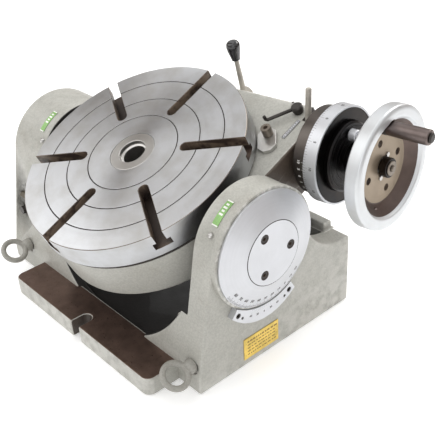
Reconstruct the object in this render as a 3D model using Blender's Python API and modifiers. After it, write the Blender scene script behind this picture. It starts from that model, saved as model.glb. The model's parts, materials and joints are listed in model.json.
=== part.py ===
"""Tilting rotary table: a round T-slotted table on a 90:1 worm gear, in a cradle that tilts in two cheeks.

Units are metres, +Z is up. The origin is on the underside of the base, below the middle of the trunnion axis.
+X runs along the trunnion axis to the graduated disc, and -Y points to the front clamping ledge.
"""

import math

import bmesh
import bpy
from mathutils import Matrix, Vector

PARTS = "rotary_table_parts"
CUTTERS = "rotary_table_cutters"
GAP = 0.0003  # left between pieces that touch

# Base casting
BASE_LEFT_X = -0.2482
BASE_RIGHT_X = 0.2036
CHEEK_INNER_X = 0.1685
BASE_FRONT_Y = -0.111
BASE_REAR_Y = 0.1675
SLOPE_START_Z = 0.020
SHOULDER_Z = 0.1065
CHEEK_RADIUS = 0.080
SADDLE_RADIUS = 0.078
SADDLE_Y = 0.156
FLOOR_THICKNESS = 0.007
PAD_RADIUS = 0.081
PAD_FACE_X = 0.2103
VALLEY_RADIUS = 0.162
VALLEY_X = 0.010
WEB_REAR_Y = -0.095
REAR_WALL_Y = 0.151
REAR_WALL_Z = 0.118
LEDGE_HALF_X = 0.1615
LEDGE_FRONT_Y = -0.1605
REAR_LEDGE_HALF_X = 0.100
REAR_LEDGE_Y = 0.203
LEDGE_Z = 0.027
LEDGE_CORNER = 0.012
U_SLOT_WIDTH = 0.018
U_SLOT_DEPTH = 0.027
RING_RADIUS = 0.0165
RING_WIRE = 0.0041
RING_TURN = math.radians(-35)
EYEBOLT_FACE_Y = 0.1065
EYEBOLT_THREAD_RADIUS = 0.0050

# Tilt axis, tilt worm and its wheel
TRUNNION_Z = 0.1695
REST_TILT = math.radians(25)
TRUNNION_RADIUS = 0.0345
BUSH_WALL = 0.0052
TILT_MODULE = 0.002
TILT_TEETH = 60
TILT_WORM_PITCH_RADIUS = 0.015
TILT_WORM_Z = TRUNNION_Z - TILT_MODULE * TILT_TEETH / 2 - TILT_WORM_PITCH_RADIUS
TILT_WHEEL_X = -0.214
TILT_WHEEL_WIDTH = 0.020
TILT_WORM_BUSH_START = 0.030  # from the wheel's middle plane, clear of its teeth
TILT_WORM_BUSH_RADIUS = 0.0192
TILT_CAVITY_RADIUS = 0.0645
END_COVER_RADIUS = 0.0705

# Cradle, in its own frame: X along the trunnions, Y across the table, Z along the table's axis
DRUM_RADIUS = 0.1575
DRUM_TOP = 0.0405
DRUM_BOTTOM = -0.027
CAVITY_RADIUS = 0.124
CAVITY_FLOOR = -0.014
HUB_BOTTOM = -0.050
HOUSING_TOP = 0.0395
HOUSING_BOTTOM = -0.038
HOUSING_SIDE_X = 0.1675

# Rotary table
TABLE_RADIUS = 0.160
TABLE_TOP = 0.080
TABLE_BOTTOM = 0.042
TABLE_BOSS_RADIUS = 0.060
T_SLOTS = 6
T_SLOT_WIDTH = 0.014
T_SLOT_NECK = 0.015
T_SLOT_WIDE = 0.024
T_SLOT_DEPTH = 0.025
T_SLOT_START = 0.071
SPINDLE_RADIUS = 0.030
SPINDLE_HEAD_RADIUS = 0.032
SPINDLE_HEAD_DEPTH = 0.012

# Table worm: its axis lies beside the table's, turned by WORM_ANGLE from the trunnion axis
MODULE = 0.0025
WHEEL_TEETH = 90
WORM_PITCH_RADIUS = 0.0225
WORM_ANGLE = math.radians(6.3)
WORM_HEIGHT = 0.006
CENTRE_DISTANCE = MODULE * WHEEL_TEETH / 2 + WORM_PITCH_RADIUS
WHEEL_WIDTH = 0.024
WORM_BORE = 0.030
JOURNAL_RADIUS = 0.0125
HOUSING_LEFT_S = -0.078
WORM_COVER_RADIUS = 0.032
HOUSING_REAR_W = 0.038
COLLAR_RADIUS = 0.058
COLLAR_S = (0.1903, 0.209)
DIAL_RADIUS = 0.0644
DIAL_S = (0.2103, 0.229)
DIAL_HUB_RADIUS = 0.0457
HANDWHEEL_RADIUS = 0.0788
WEB_S = (0.276, 0.284)
HANDLE_OFFSET = 0.0550
HANDLE_ANGLE = math.radians(19)
ROD_S = 0.170
ROD_ANGLE = math.radians(29)

BASE_GREY = (0.52, 0.51, 0.47)


def axes(x, y, z, origin=(0, 0, 0)):
    """A matrix whose columns are these three directions."""
    turn = Matrix((x, y, z)).transposed().to_4x4()
    return Matrix.Translation(origin) @ turn


ALONG_X = axes((0, 1, 0), (0, 0, 1), (1, 0, 0))
FRONTWARD = axes((1, 0, 0), (0, 0, 1), (0, -1, 0))
TRUNNION_LINE = Matrix.Translation((0, 0, TRUNNION_Z)) @ ALONG_X
TILT_WORM_LINE = Matrix.Translation((TILT_WHEEL_X, 0, TILT_WORM_Z)) @ FRONTWARD
EYEBOLTS = [Matrix.Translation((x, -EYEBOLT_FACE_Y, z)) @ FRONTWARD for x, z in ((0.187, 0.037), (-0.203, 0.040))]


def clear_scene():
    for obj in list(bpy.data.objects):
        bpy.data.objects.remove(obj)
    for collection in list(bpy.data.collections):
        bpy.data.collections.remove(collection)
    for name in (PARTS, CUTTERS):
        bpy.context.scene.collection.children.link(bpy.data.collections.new(name))
    bpy.data.collections[CUTTERS].hide_render = True


def material(name, colour, roughness, metallic):
    made = bpy.data.materials.new(name)
    made.use_nodes = True
    shader = made.node_tree.nodes["Principled BSDF"]
    shader.inputs["Base Color"].default_value = (*colour, 1)
    shader.inputs["Roughness"].default_value = roughness
    shader.inputs["Metallic"].default_value = metallic
    return made


def frame_empty(name, matrix, parent=None):
    empty = bpy.data.objects.new(name, None)
    bpy.data.collections[PARTS].objects.link(empty)
    empty.parent = parent
    empty.matrix_basis = matrix
    return empty


def add_object(name, mesh):
    """A new object in the cutters' collection; part() moves it to the parts."""
    obj = bpy.data.objects.new(name, mesh)
    bpy.data.collections[CUTTERS].objects.link(obj)
    obj.hide_render = True
    obj.display_type = "WIRE"
    return obj


def part(obj, look, parent=None, matrix=None, smooth=30):
    """Turns a helper into a named sub-part with its own material."""
    bpy.data.collections[CUTTERS].objects.unlink(obj)
    bpy.data.collections[PARTS].objects.link(obj)
    obj.hide_render = False
    obj.display_type = "TEXTURED"
    obj.data.materials.clear()
    obj.data.materials.append(material(obj.name, *look))
    obj.data.shade_smooth()
    obj.data.set_sharp_from_angle(angle=math.radians(smooth))
    return place(obj, parent, matrix)


def place(obj, parent=None, matrix=None):
    obj.parent = parent
    obj.matrix_basis = matrix or Matrix()
    return obj


def from_bmesh(name, bm):
    mesh = bpy.data.meshes.new(name)
    bmesh.ops.recalc_face_normals(bm, faces=bm.faces)
    bm.to_mesh(mesh)
    bm.free()
    return add_object(name, mesh)


def turned(name, profile, steps=48, ring=True):
    """A profile of (radius, height) points, listed down its outer side, turned about local Z."""
    mesh = bpy.data.meshes.new(name)
    count = len(profile)
    edges = [(i, (i + 1) % count) for i in range(count if ring else count - 1)]
    mesh.from_pydata([(r, 0, z) for r, z in profile], edges, [])
    obj = add_object(name, mesh)
    screw = obj.modifiers.new("turn", "SCREW")
    screw.axis = "Z"
    screw.steps = screw.render_steps = steps
    screw.use_merge_vertices = True
    screw.merge_threshold = 0.00001
    screw.use_smooth_shade = True
    return obj


def cylinder(name, radius, low, high, steps=32):
    bm = bmesh.new()
    place_at = Matrix.Translation((0, 0, (low + high) / 2))
    bmesh.ops.create_cone(
        bm, cap_ends=True, segments=steps, radius1=radius, radius2=radius, depth=high - low, matrix=place_at
    )
    return from_bmesh(name, bm)


def block(name, low, high):
    bm = bmesh.new()
    size = [h - l for l, h in zip(low, high)]
    middle = [(h + l) / 2 for l, h in zip(low, high)]
    bmesh.ops.create_cube(bm, size=1, matrix=Matrix.Translation(middle) @ Matrix.Diagonal((*size, 1)))
    return from_bmesh(name, bm)


def mesh_from(curve_object, threshold=0.00002):
    """The evaluated mesh of a curve, with its caps welded on."""
    bpy.context.view_layer.update()
    graph = bpy.context.evaluated_depsgraph_get()
    mesh = bpy.data.meshes.new_from_object(curve_object.evaluated_get(graph))
    bm = bmesh.new()
    bm.from_mesh(mesh)
    bpy.data.meshes.remove(mesh)
    bmesh.ops.remove_doubles(bm, verts=bm.verts, dist=threshold)
    bpy.data.objects.remove(curve_object)
    return bm


def prism(name, outlines, low, high):
    """Flat closed outlines, the first one outside and the others holes, as a plate from low to high."""
    curve = bpy.data.curves.new(name, "CURVE")
    curve.dimensions = "2D"
    curve.fill_mode = "BOTH"
    curve.extrude = (high - low) / 2
    for points in outlines:
        spline = curve.splines.new("POLY")
        spline.points.add(len(points) - 1)
        for point, (x, y) in zip(spline.points, points):
            point.co = (x, y, 0, 1)
        spline.use_cyclic_u = True
    bm = mesh_from(add_object(name + "_outline", curve))
    bmesh.ops.translate(bm, verts=bm.verts, vec=(0, 0, (low + high) / 2))
    return from_bmesh(name, bm)


def tube(name, points, radius):
    """A round bar through these points."""
    curve = bpy.data.curves.new(name, "CURVE")
    curve.dimensions = "3D"
    curve.bevel_depth = radius
    curve.bevel_resolution = 2
    curve.use_fill_caps = True
    spline = curve.splines.new("POLY")
    spline.points.add(len(points) - 1)
    for point, place_at in zip(spline.points, points):
        point.co = (*place_at, 1)
    return from_bmesh(name, mesh_from(add_object(name + "_line", curve)))


def arc(radius, start, end, steps, centre=(0, 0)):
    """Points on an arc, with its angles in degrees."""
    angles = [math.radians(start + (end - start) * i / steps) for i in range(steps + 1)]
    return [(centre[0] + radius * math.cos(a), centre[1] + radius * math.sin(a)) for a in angles]


def combine(target, operation, others):
    for other in others:
        modifier = target.modifiers.new(other.name, "BOOLEAN")
        modifier.operation = operation
        modifier.object = other
    return target


def cut(target, *others):
    return combine(target, "DIFFERENCE", others)


def join(target, *others):
    return combine(target, "UNION", others)


def gear_outline(teeth, module, backlash=0.06):
    """Straight-sided teeth around a pitch circle; backlash thins each one, as a share of the tooth pitch."""
    pitch = module * teeth / 2
    step = math.tau / teeth
    points = []
    for i in range(teeth):
        for radius, share in ((pitch - 1.2 * module, 0.36), (pitch + module, 0.13)):
            points.append((radius, (i - share + backlash / 2) * step))
        for radius, share in ((pitch + module, 0.13), (pitch - 1.2 * module, 0.36)):
            points.append((radius, (i + share - backlash / 2) * step))
    return [(r * math.cos(a), r * math.sin(a)) for r, a in points]


def worm_wheel(name, teeth, module, worm_radius, bore, low, high):
    """A worm wheel about local Z: its teeth lean by the worm's lead angle, with a tooth space on +Y."""
    gear = prism(name, [gear_outline(teeth, module), arc(bore, 0, 345, 23)], low, high)
    lean = module / 2 / worm_radius / (module * teeth / 2)
    middle = (low + high) / 2
    half_tooth = math.pi / teeth
    for vertex in gear.data.vertices:
        angle = math.pi / 2 + half_tooth + lean * (vertex.co.z - middle)
        vertex.co = Matrix.Rotation(angle, 3, "Z") @ vertex.co
    return gear


def threaded_worm(name, module, pitch_radius, half_length, ends, columns=10):
    """A single-start worm about local Z, on a shaft with these (radius, height) steps at each end.

    Each column of vertices follows the thread's section along the axis; the next column is the same section,
    moved along by its share of the pitch. Heights past the thread's ends stop there, at the root. A crest
    crosses height 0 on local +Y, the side that meets the wheel.
    """
    pitch = math.pi * module
    root, tip = pitch_radius - 1.2 * module, pitch_radius + module
    section = ((-0.33, root), (-0.12, tip), (0.12, tip), (0.33, root))
    turns = math.ceil(half_length / pitch) + 1
    lower, upper = ends
    grid = []
    bm = bmesh.new()
    for column in range(columns + 1):
        angle = math.tau * column / columns
        line = list(lower)
        for turn in range(-turns - 1, turns + 1):
            for share, radius in section:
                z = (turn + share + column / columns - 0.25) * pitch
                inside = abs(z) < half_length
                line.append((radius, z) if inside else (root, math.copysign(half_length, z)))
        line += upper
        direction = Vector((math.cos(angle), math.sin(angle), 0))
        grid.append([bm.verts.new(direction * radius + Vector((0, 0, z))) for radius, z in line])
    for left, right in zip(grid, grid[1:]):
        for row in range(len(left) - 1):
            bm.faces.new((left[row], right[row], right[row + 1], left[row + 1]))
    bmesh.ops.remove_doubles(bm, verts=bm.verts, dist=0.000002)
    bmesh.ops.dissolve_degenerate(bm, edges=bm.edges, dist=0.000002)
    bmesh.ops.holes_fill(bm, edges=bm.edges)
    return from_bmesh(name, bm)


# ---------------------------------------------------------------- base


def cheek_outline():
    """(y, z) outline of the base's side: sloped front, round top, saddle and rear shoulder."""
    saddle_z = SHOULDER_Z + SADDLE_RADIUS
    reach = math.hypot(SADDLE_Y, saddle_z - TRUNNION_Z)
    bearing = math.atan2(saddle_z - TRUNNION_Z, SADDLE_Y)
    along = (CHEEK_RADIUS**2 - SADDLE_RADIUS**2 + reach**2) / (2 * reach)
    half_angle = math.acos(along / CHEEK_RADIUS)
    top_start = math.degrees(bearing - half_angle)
    meet_y = CHEEK_RADIUS * math.cos(math.radians(top_start))
    meet_z = TRUNNION_Z + CHEEK_RADIUS * math.sin(math.radians(top_start))
    saddle_end = math.degrees(math.atan2(meet_z - saddle_z, meet_y - SADDLE_Y)) % 360
    drop = math.hypot(BASE_FRONT_Y, TRUNNION_Z - SLOPE_START_Z)
    lean = math.atan2(TRUNNION_Z - SLOPE_START_Z, -BASE_FRONT_Y) + math.asin(CHEEK_RADIUS / drop)
    front_tangent = math.degrees(lean) + 90
    points = [(BASE_FRONT_Y, 0), (BASE_REAR_Y, 0), (BASE_REAR_Y, SHOULDER_Z)]
    points += arc(SADDLE_RADIUS, 270, saddle_end, 6, (SADDLE_Y, saddle_z))[:-1]
    points += arc(CHEEK_RADIUS, top_start, front_tangent, 18, (0, TRUNNION_Z))
    points.append((BASE_FRONT_Y, SLOPE_START_Z))
    return points


def rounded_ledge(name, half_x, near_y, far_y):
    """A clamping ledge with two rounded outer corners and an open slot in the middle."""
    way = math.copysign(1, far_y)
    corner = far_y - way * LEDGE_CORNER
    points = [(half_x, near_y)]
    points += arc(LEDGE_CORNER, 0, 90 * way, 3, (half_x - LEDGE_CORNER, corner))
    slot = U_SLOT_WIDTH / 2
    bottom = far_y - way * (U_SLOT_DEPTH - slot)
    points.append((slot, far_y))
    points += arc(slot, 0, -180 * way, 6, (0, bottom))
    points.append((-slot, far_y))
    points += arc(LEDGE_CORNER, 90 * way, 180 * way, 3, (LEDGE_CORNER - half_x, corner))
    points.append((-half_x, near_y))
    return prism(name, [points], 0, LEDGE_Z)


def base_casting():
    inner = CHEEK_INNER_X
    base = prism("base_casting", [cheek_outline()], BASE_LEFT_X, BASE_RIGHT_X)
    wall = block(
        "rear_wall",
        (-inner - 0.003, REAR_WALL_Y + 0.0002, 0.050),
        (inner + 0.003, BASE_REAR_Y - 0.0002, REAR_WALL_Z),
    )
    pad = cylinder("pad", PAD_RADIUS, BASE_RIGHT_X - 0.0004, PAD_FACE_X, 40)
    front_ledge = rounded_ledge("front_ledge", LEDGE_HALF_X, BASE_FRONT_Y + 0.008, LEDGE_FRONT_Y)
    rear_ledge = rounded_ledge("rear_ledge", REAR_LEDGE_HALF_X, BASE_REAR_Y - 0.008, REAR_LEDGE_Y)
    join(base, wall, place(pad, None, TRUNNION_LINE), front_ledge, rear_ledge)
    valley = cylinder("valley_cutter", VALLEY_RADIUS, -WEB_REAR_Y - 0.005, 0.0002 - BASE_FRONT_Y, 56)
    place(valley, None, FRONTWARD @ Matrix.Translation((VALLEY_X, TRUNNION_Z, 0)))
    opening = block("opening_cutter", (-inner, -0.130, 0.110), (inner, -0.090, 0.300))
    well = block("well_cutter", (-inner, WEB_REAR_Y, FLOOR_THICKNESS), (inner, REAR_WALL_Y, 0.300))
    behind = block("behind_cutter", (-inner, 0.140, REAR_WALL_Z), (inner, 0.180, 0.300))
    bush_bore = TRUNNION_RADIUS + GAP + BUSH_WALL + GAP
    bore = turned(
        "trunnion_bore",
        [
            (0, 0.230),
            (bush_bore, 0.230),
            (bush_bore, -0.185),
            (TILT_CAVITY_RADIUS, -0.189),
            (TILT_CAVITY_RADIUS, -0.240),
            (END_COVER_RADIUS + GAP, -0.240),
            (END_COVER_RADIUS + GAP, -0.260),
            (0, -0.260),
        ],
        36,
        ring=False,
    )
    worm_bore = turned(
        "tilt_worm_bore",
        [(0, 0.130), (0.027, 0.130), (0.027, 0.090), (0.0195, 0.090), (0.0195, -0.062), (0, -0.062)],
        24,
        ring=False,
    )
    cut(base, valley, opening, well, behind)
    cut(base, place(bore, None, TRUNNION_LINE), place(worm_bore, None, TILT_WORM_LINE))
    for number, where in enumerate(EYEBOLTS, 1):
        thread = EYEBOLT_THREAD_RADIUS + GAP
        seat = turned(
            f"eyebolt_seat_{number}",
            [(0, 0.150), (0.012, 0.150), (0.012, 0), (thread, 0), (thread, -0.016), (0, -0.016)],
            10,
            ring=False,
        )
        cut(base, place(seat, None, where))
    part(base, (BASE_GREY, 0.55, 0.1), None, ALONG_X)


def eyebolt(name, where):
    """A lifting eye: its ring stands on a collar, and its thread goes into the casting."""
    bolt = turned(
        name,
        [(0, 0.013), (0.0070, 0.0120), (0.0100, 0.0070), (0.0100, GAP),
         (EYEBOLT_THREAD_RADIUS, GAP), (EYEBOLT_THREAD_RADIUS, -0.014), (0, -0.014)],
        10,
        ring=False,
    )
    bpy.ops.mesh.primitive_torus_add(
        major_radius=RING_RADIUS, minor_radius=RING_WIRE, major_segments=16, minor_segments=6
    )
    torus = bpy.context.object
    ring = add_object(name + "_ring", torus.data)
    bpy.data.objects.remove(torus)
    turn = Matrix.Rotation(RING_TURN, 4, "Z") @ Matrix.Rotation(math.pi / 2, 4, "X")
    join(bolt, place(ring, None, where @ Matrix.Translation((0, 0, 0.0115 + RING_RADIUS)) @ turn))
    part(bolt, ((0.62, 0.61, 0.57), 0.4, 0.6), None, where)


def base_fittings():
    steel = ((0.55, 0.54, 0.52), 0.35, 1.0)
    bronze = ((0.55, 0.38, 0.17), 0.4, 1.0)
    inner, outer = TRUNNION_RADIUS + GAP, TRUNNION_RADIUS + GAP + BUSH_WALL
    for name, low, high in (
        ("right_trunnion_bush", CHEEK_INNER_X + GAP, PAD_FACE_X - GAP),
        ("left_trunnion_bush", -0.1868, -CHEEK_INNER_X - GAP),
    ):
        bush = turned(name, [(inner, high), (outer, high), (outer, low), (inner, low)], 32)
        part(bush, bronze, None, TRUNNION_LINE)
    cover = turned(
        "left_end_cover",
        [
            (0, -0.2403),
            (END_COVER_RADIUS, -0.2403),
            (END_COVER_RADIUS, -0.2480),
            (0.030, -0.2480),
            (0.028, -0.2465),
            (0, -0.2465),
        ],
        36,
        ring=False,
    )
    part(cover, (BASE_GREY, 0.5, 0.2), None, TRUNNION_LINE)
    shaft, outer, start = 0.0083, TILT_WORM_BUSH_RADIUS, TILT_WORM_BUSH_START
    front = turned(
        "tilt_worm_front_bush",
        [
            (shaft, 0.0935),
            (0.0255, 0.0935),
            (0.0265, 0.0925),
            (0.0265, 0.0903),
            (outer, 0.0903),
            (outer, start),
            (shaft, start),
        ],
        24,
    )
    part(front, bronze, None, TILT_WORM_LINE)
    rear = turned(
        "tilt_worm_rear_bush", [(shaft, -start), (outer, -start), (outer, -0.058), (shaft, -0.058)], 24
    )
    part(rear, bronze, None, TILT_WORM_LINE)
    vernier(steel)
    for number, where in enumerate(EYEBOLTS, 1):
        eyebolt(f"eyebolt_{number}", where)
    tag_outline = arc(CHEEK_RADIUS + 0.0009, 114.5, 140, 6) + arc(CHEEK_RADIUS + GAP, 140, 114.5, 6)
    for name, low, high in (("right_tag", 0.1865, 0.1965), ("left_tag", -0.1910, -0.1815)):
        tag = prism(name, [tag_outline], low, high)
        part(tag, ((0.16, 0.30, 0.12), 0.4, 0.0), None, TRUNNION_LINE)
    for name, x in (("right_oil_nipple", 0.192), ("left_oil_nipple", -0.176)):
        nipple = turned(
            name, [(0, 0.0044), (0.0016, 0.0042), (0.0034, 0.0026), (0.0040, GAP), (0, GAP)], 12, ring=False
        )
        up = Vector((0, math.cos(math.radians(148)), math.sin(math.radians(148))))
        side = Vector((1, 0, 0))
        place_at = axes(side, up.cross(side), up, Vector((x, 0, TRUNNION_Z)) + up * CHEEK_RADIUS)
        part(nipple, steel, None, place_at)
    plate = block("data_plate", (BASE_RIGHT_X + GAP, -0.036, 0.0105), (BASE_RIGHT_X + 0.0012, 0.026, 0.0435))
    part(plate, ((0.62, 0.47, 0.12), 0.35, 1.0))


def vernier(steel):
    """The crescent-shaped reading plate under the graduated disc, with two screws and two dowels."""
    first, last, steps = -129, -59, 10
    crescent = []
    for i in range(steps + 1):
        share = i / steps
        angle = math.radians(first + (last - first) * share)
        radius = 0.0955 + 0.006 * math.sin(math.pi * share)
        crescent.append((radius * math.cos(angle), radius * math.sin(angle)))
    low, high = BASE_RIGHT_X + GAP, 0.2126
    plate = prism("vernier_plate", [crescent + arc(PAD_RADIUS + 0.0004, last, first, steps)], low, high)
    for name, radius, angle, size in (
        ("vernier_screw_1", 0.0895, -124.0, 0.0036),
        ("vernier_screw_2", 0.0893, -64.4, 0.0036),
        ("vernier_pin_1", 0.0918, -118.2, 0.0018),
        ("vernier_pin_2", 0.0913, -70.6, 0.0018),
    ):
        turn = Matrix.Rotation(math.radians(angle), 4, "Z")
        spot = TRUNNION_LINE @ turn @ Matrix.Translation((radius, 0, 0))
        hole = cylinder(name + "_hole", size + GAP, high - 0.005, high + 0.005, 12)
        cut(plate, place(hole, None, spot))
        shape = cylinder(name, size, high - 0.0047, high - 0.0006, 12)
        if "screw" in name:
            socket = cylinder(name + "_socket", 0.0021, high - 0.003, high + 0.002, 6)
            cut(shape, place(socket, None, spot))
        part(shape, ((0.10, 0.10, 0.10), 0.4, 0.9), None, spot)
    part(plate, steel, None, TRUNNION_LINE)


# ---------------------------------------------------------------- cradle


def worm_point(s, w=0.0, n=0.0):
    """A point in the cradle's frame: s along the worm's axis, w away from the table's axis, n up."""
    c, d = math.cos(WORM_ANGLE), math.sin(WORM_ANGLE)
    reach = CENTRE_DISTANCE + w
    return Vector((s * c - reach * d, s * d + reach * c, WORM_HEIGHT + n))


def cradle_body(tilt, worm):
    drum = turned(
        "cradle_body",
        [
            (0, DRUM_TOP),
            (DRUM_RADIUS, DRUM_TOP),
            (DRUM_RADIUS, DRUM_BOTTOM + 0.007),
            (DRUM_RADIUS - 0.006, DRUM_BOTTOM),
            (0.128, DRUM_BOTTOM - 0.001),
            (0.121, -0.034),
            (0.056, -0.034),
            (0.052, HUB_BOTTOM),
            (0, HUB_BOTTOM),
        ],
        48,
        ring=False,
    )
    rear_edge = worm_point(0, HOUSING_REAR_W).y - worm_point(0, HOUSING_REAR_W).x * math.tan(WORM_ANGLE)
    outline = [
        tuple(worm_point(HOUSING_LEFT_S, -0.050).xy),
        (0.110, 0.020),
        (HOUSING_SIDE_X, 0.030),
        (HOUSING_SIDE_X, rear_edge + HOUSING_SIDE_X * math.tan(WORM_ANGLE)),
        tuple(worm_point(HOUSING_LEFT_S, HOUSING_REAR_W).xy),
    ]
    housing = prism("housing", [outline], HOUSING_BOTTOM, HOUSING_TOP)
    bevel = housing.modifiers.new("rounding", "BEVEL")
    bevel.width = 0.003
    bevel.segments = 1
    bevel.limit_method = "ANGLE"
    place(housing, tilt)
    snout = place(cylinder("snout", 0.033, 0.165, 0.190, 28), worm)
    sides = []
    for name, low, high in (("right_boss", 0.118, 0.1675), ("left_boss", -0.1675, -0.118)):
        boss = cylinder(name, 0.050, low, high, 32)
        top = block(name + "_top", (-0.2, -0.1, HOUSING_TOP - 0.0015), (0.2, 0.1, 0.100))
        cut(place(boss, tilt, ALONG_X), place(top, tilt))
        sides.append(boss)
    cavity = turned(
        "cavity",
        [
            (0, 0.060),
            (CAVITY_RADIUS, 0.060),
            (CAVITY_RADIUS, CAVITY_FLOOR),
            (0.0363, CAVITY_FLOOR),
            (0.0363, -0.060),
            (0, -0.060),
        ],
        36,
        ring=False,
    )
    cover_seat, seat_s = WORM_COVER_RADIUS + 0.002, HOUSING_LEFT_S - 0.0001
    bore = turned(
        "worm_bore",
        [(0, 0.220), (WORM_BORE, 0.220), (WORM_BORE, seat_s), (cover_seat, seat_s), (cover_seat, -0.140),
         (0, -0.140)],
        28,
        ring=False,
    )
    join(drum, housing, snout, *sides)
    cut(drum, place(cavity, tilt), place(bore, worm))
    for side in (-1, 1):
        low, high = sorted((side * 0.123, side * 0.180))
        socket = cylinder(f"trunnion_socket_{side}", TRUNNION_RADIUS + GAP, low, high, 32)
        cut(drum, place(socket, tilt, ALONG_X))
    slot_points = arc(0.060, -18, -76, 3) + arc(0.020, -76, -18, 2)
    slot = prism("rod_slot", [slot_points], ROD_S - 0.0048, ROD_S + 0.0048)
    cut(drum, place(slot, worm))
    part(drum, (BASE_GREY, 0.5, 0.1), tilt)


def cradle_fittings(tilt, worm):
    steel = ((0.60, 0.60, 0.60), 0.3, 1.0)
    black = ((0.02, 0.02, 0.022), 0.45, 0.6)
    bronze = ((0.55, 0.38, 0.17), 0.4, 1.0)
    iron = (BASE_GREY, 0.5, 0.1)
    radius = TRUNNION_RADIUS
    right = turned(
        "right_trunnion",
        [(0, 0.2106), (radius, 0.2106), (radius, 0.1262), (0.014, 0.1262), (0.014, 0.170), (0, 0.170)],
        32,
        ring=False,
    )
    part(right, steel, tilt, ALONG_X)
    left = turned(
        "left_trunnion",
        [
            (0, -0.1262),
            (radius, -0.1262),
            (radius, -0.1900),
            (0.0300, -0.1900),
            (0.0300, -0.2300),
            (0, -0.2300),
        ],
        32,
        ring=False,
    )
    part(left, steel, tilt, ALONG_X)
    wheel_low = TILT_WHEEL_X - TILT_WHEEL_WIDTH / 2
    wheel = worm_wheel(
        "tilt_worm_wheel", TILT_TEETH, TILT_MODULE, TILT_WORM_PITCH_RADIUS, 0.0303, wheel_low,
        wheel_low + TILT_WHEEL_WIDTH,
    )
    mesh_down = Matrix.Rotation(math.pi - REST_TILT, 4, "Z")
    part(wheel, bronze, tilt, ALONG_X @ mesh_down)
    tilt_disc(tilt, steel, black)
    bore = SPINDLE_RADIUS + GAP
    bush = turned(
        "table_bearing", [(bore, -0.0145), (0.0360, -0.0145), (0.0360, -0.0495), (bore, -0.0495)], 28
    )
    part(bush, bronze, tilt)
    cover = turned(
        "bottom_cover",
        [
            (0, -0.0640),
            (0.0440, -0.0640),
            (0.0440, HUB_BOTTOM - GAP),
            (0.0500, HUB_BOTTOM - GAP),
            (0.0500, -0.0680),
            (0, -0.0680),
        ],
        28,
        ring=False,
    )
    part(cover, iron, tilt)
    worm_bush = turned(
        "worm_left_bush",
        [(0.0128, -0.0500), (0.0297, -0.0500), (0.0297, -0.0780), (0.0128, -0.0780)],
        28,
    )
    part(worm_bush, bronze, worm)
    end, radius = HOUSING_LEFT_S - GAP, WORM_COVER_RADIUS
    face = end - 0.008
    worm_cover = turned(
        "worm_end_cover",
        [(0, end), (radius, end), (radius, end - 0.006), (radius - 0.002, face), (0, face)],
        24,
        ring=False,
    )
    part(worm_cover, iron, worm)
    collar = turned(
        "reading_collar",
        [(0.0145, COLLAR_S[1]), (COLLAR_RADIUS, COLLAR_S[1]), (COLLAR_RADIUS, COLLAR_S[0] + 0.001),
         (COLLAR_RADIUS - 0.001, COLLAR_S[0]), (0.0145, COLLAR_S[0])],
        40,
    )
    part(collar, ((0.20, 0.19, 0.18), 0.35, 0.9), worm)
    index_block(tilt, steel)
    plate = block("level_plate", (-0.0165, -0.0025, GAP), (0.0165, 0.0025, 0.0015))
    turn = Matrix.Rotation(math.radians(90), 4, "Z")
    part(plate, steel, tilt, Matrix.Translation((0.1451, 0.1448, HOUSING_TOP)) @ turn)
    screw = socket_screw("housing_screw", 0.0030, 0.0045, 0.0016)
    part(screw, steel, tilt, Matrix.Translation((0.1190, 0.1808, HOUSING_TOP + GAP)))


def socket_screw(name, radius, height, socket_radius):
    """A cap head standing on z = 0, with its hexagon socket."""
    profile = [(0, height), (radius * 0.9, height), (radius, height * 0.92), (radius, 0), (0, 0)]
    head = turned(name, profile, 14, ring=False)
    socket = cylinder(name + "_socket", socket_radius, height * 0.45, height * 1.5, 6)
    cut(head, socket)
    socket.parent = head
    return head


def tilt_disc(tilt, steel, black):
    """The graduated disc on the end of the right trunnion, with its three sunk screws."""
    back = PAD_FACE_X + 0.0006
    disc = turned(
        "tilt_disc",
        [(0, 0.2250), (0.0430, 0.2250), (0.0775, 0.2136), (0.0775, back), (0, back)],
        44,
        ring=False,
    )
    for number in range(3):
        angle = math.radians(118.5 + 120 * number) - REST_TILT
        centre = (0.0294 * math.cos(angle), 0.0294 * math.sin(angle))
        spot = ALONG_X @ Matrix.Translation((*centre, 0))
        hole = cylinder(f"disc_hole_{number + 1}", 0.0056, 0.2165, 0.2300, 14)
        cut(disc, place(hole, tilt, spot))
        screw = socket_screw(f"disc_screw_{number + 1}", 0.0052, 0.0075, 0.0027)
        part(screw, black, tilt, spot @ Matrix.Translation((0, 0, 0.2168)))
    part(disc, steel, tilt, ALONG_X)


def index_block(tilt, steel):
    """The chamfered clamp block beside the table's rim, and its bolt."""
    half_length, half_width, chamfer = 0.0205, 0.0125, 0.0075
    corner = ((1, 1), (-1, 1), (-1, -1), (1, -1))
    points = []
    for i, (along, across) in enumerate(corner):
        first = (along * (half_width - chamfer), across * half_length)
        second = (along * half_width, across * (half_length - chamfer))
        points += [second, first] if i % 2 == 0 else [first, second]
    where = Matrix.Rotation(math.radians(41.4), 4, "Z") @ Matrix.Translation((0.1735, 0, HOUSING_TOP))
    plate = prism("index_block", [points], GAP, 0.0055)
    part(plate, steel, tilt, where)
    bolt = socket_screw("index_block_bolt", 0.0068, 0.0125, 0.0034)
    part(bolt, steel, tilt, where @ Matrix.Translation((0.0023, 0.0080, 0.0058)))


# ---------------------------------------------------------------- table


def slot_outline(half_width):
    """A channel open at the rim, with a round inner end."""
    centre = T_SLOT_START + T_SLOT_WIDTH / 2
    end = arc(half_width, 90, 270, 5, (centre, 0))
    return end + [(0.170, -half_width), (0.170, half_width)]


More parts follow.
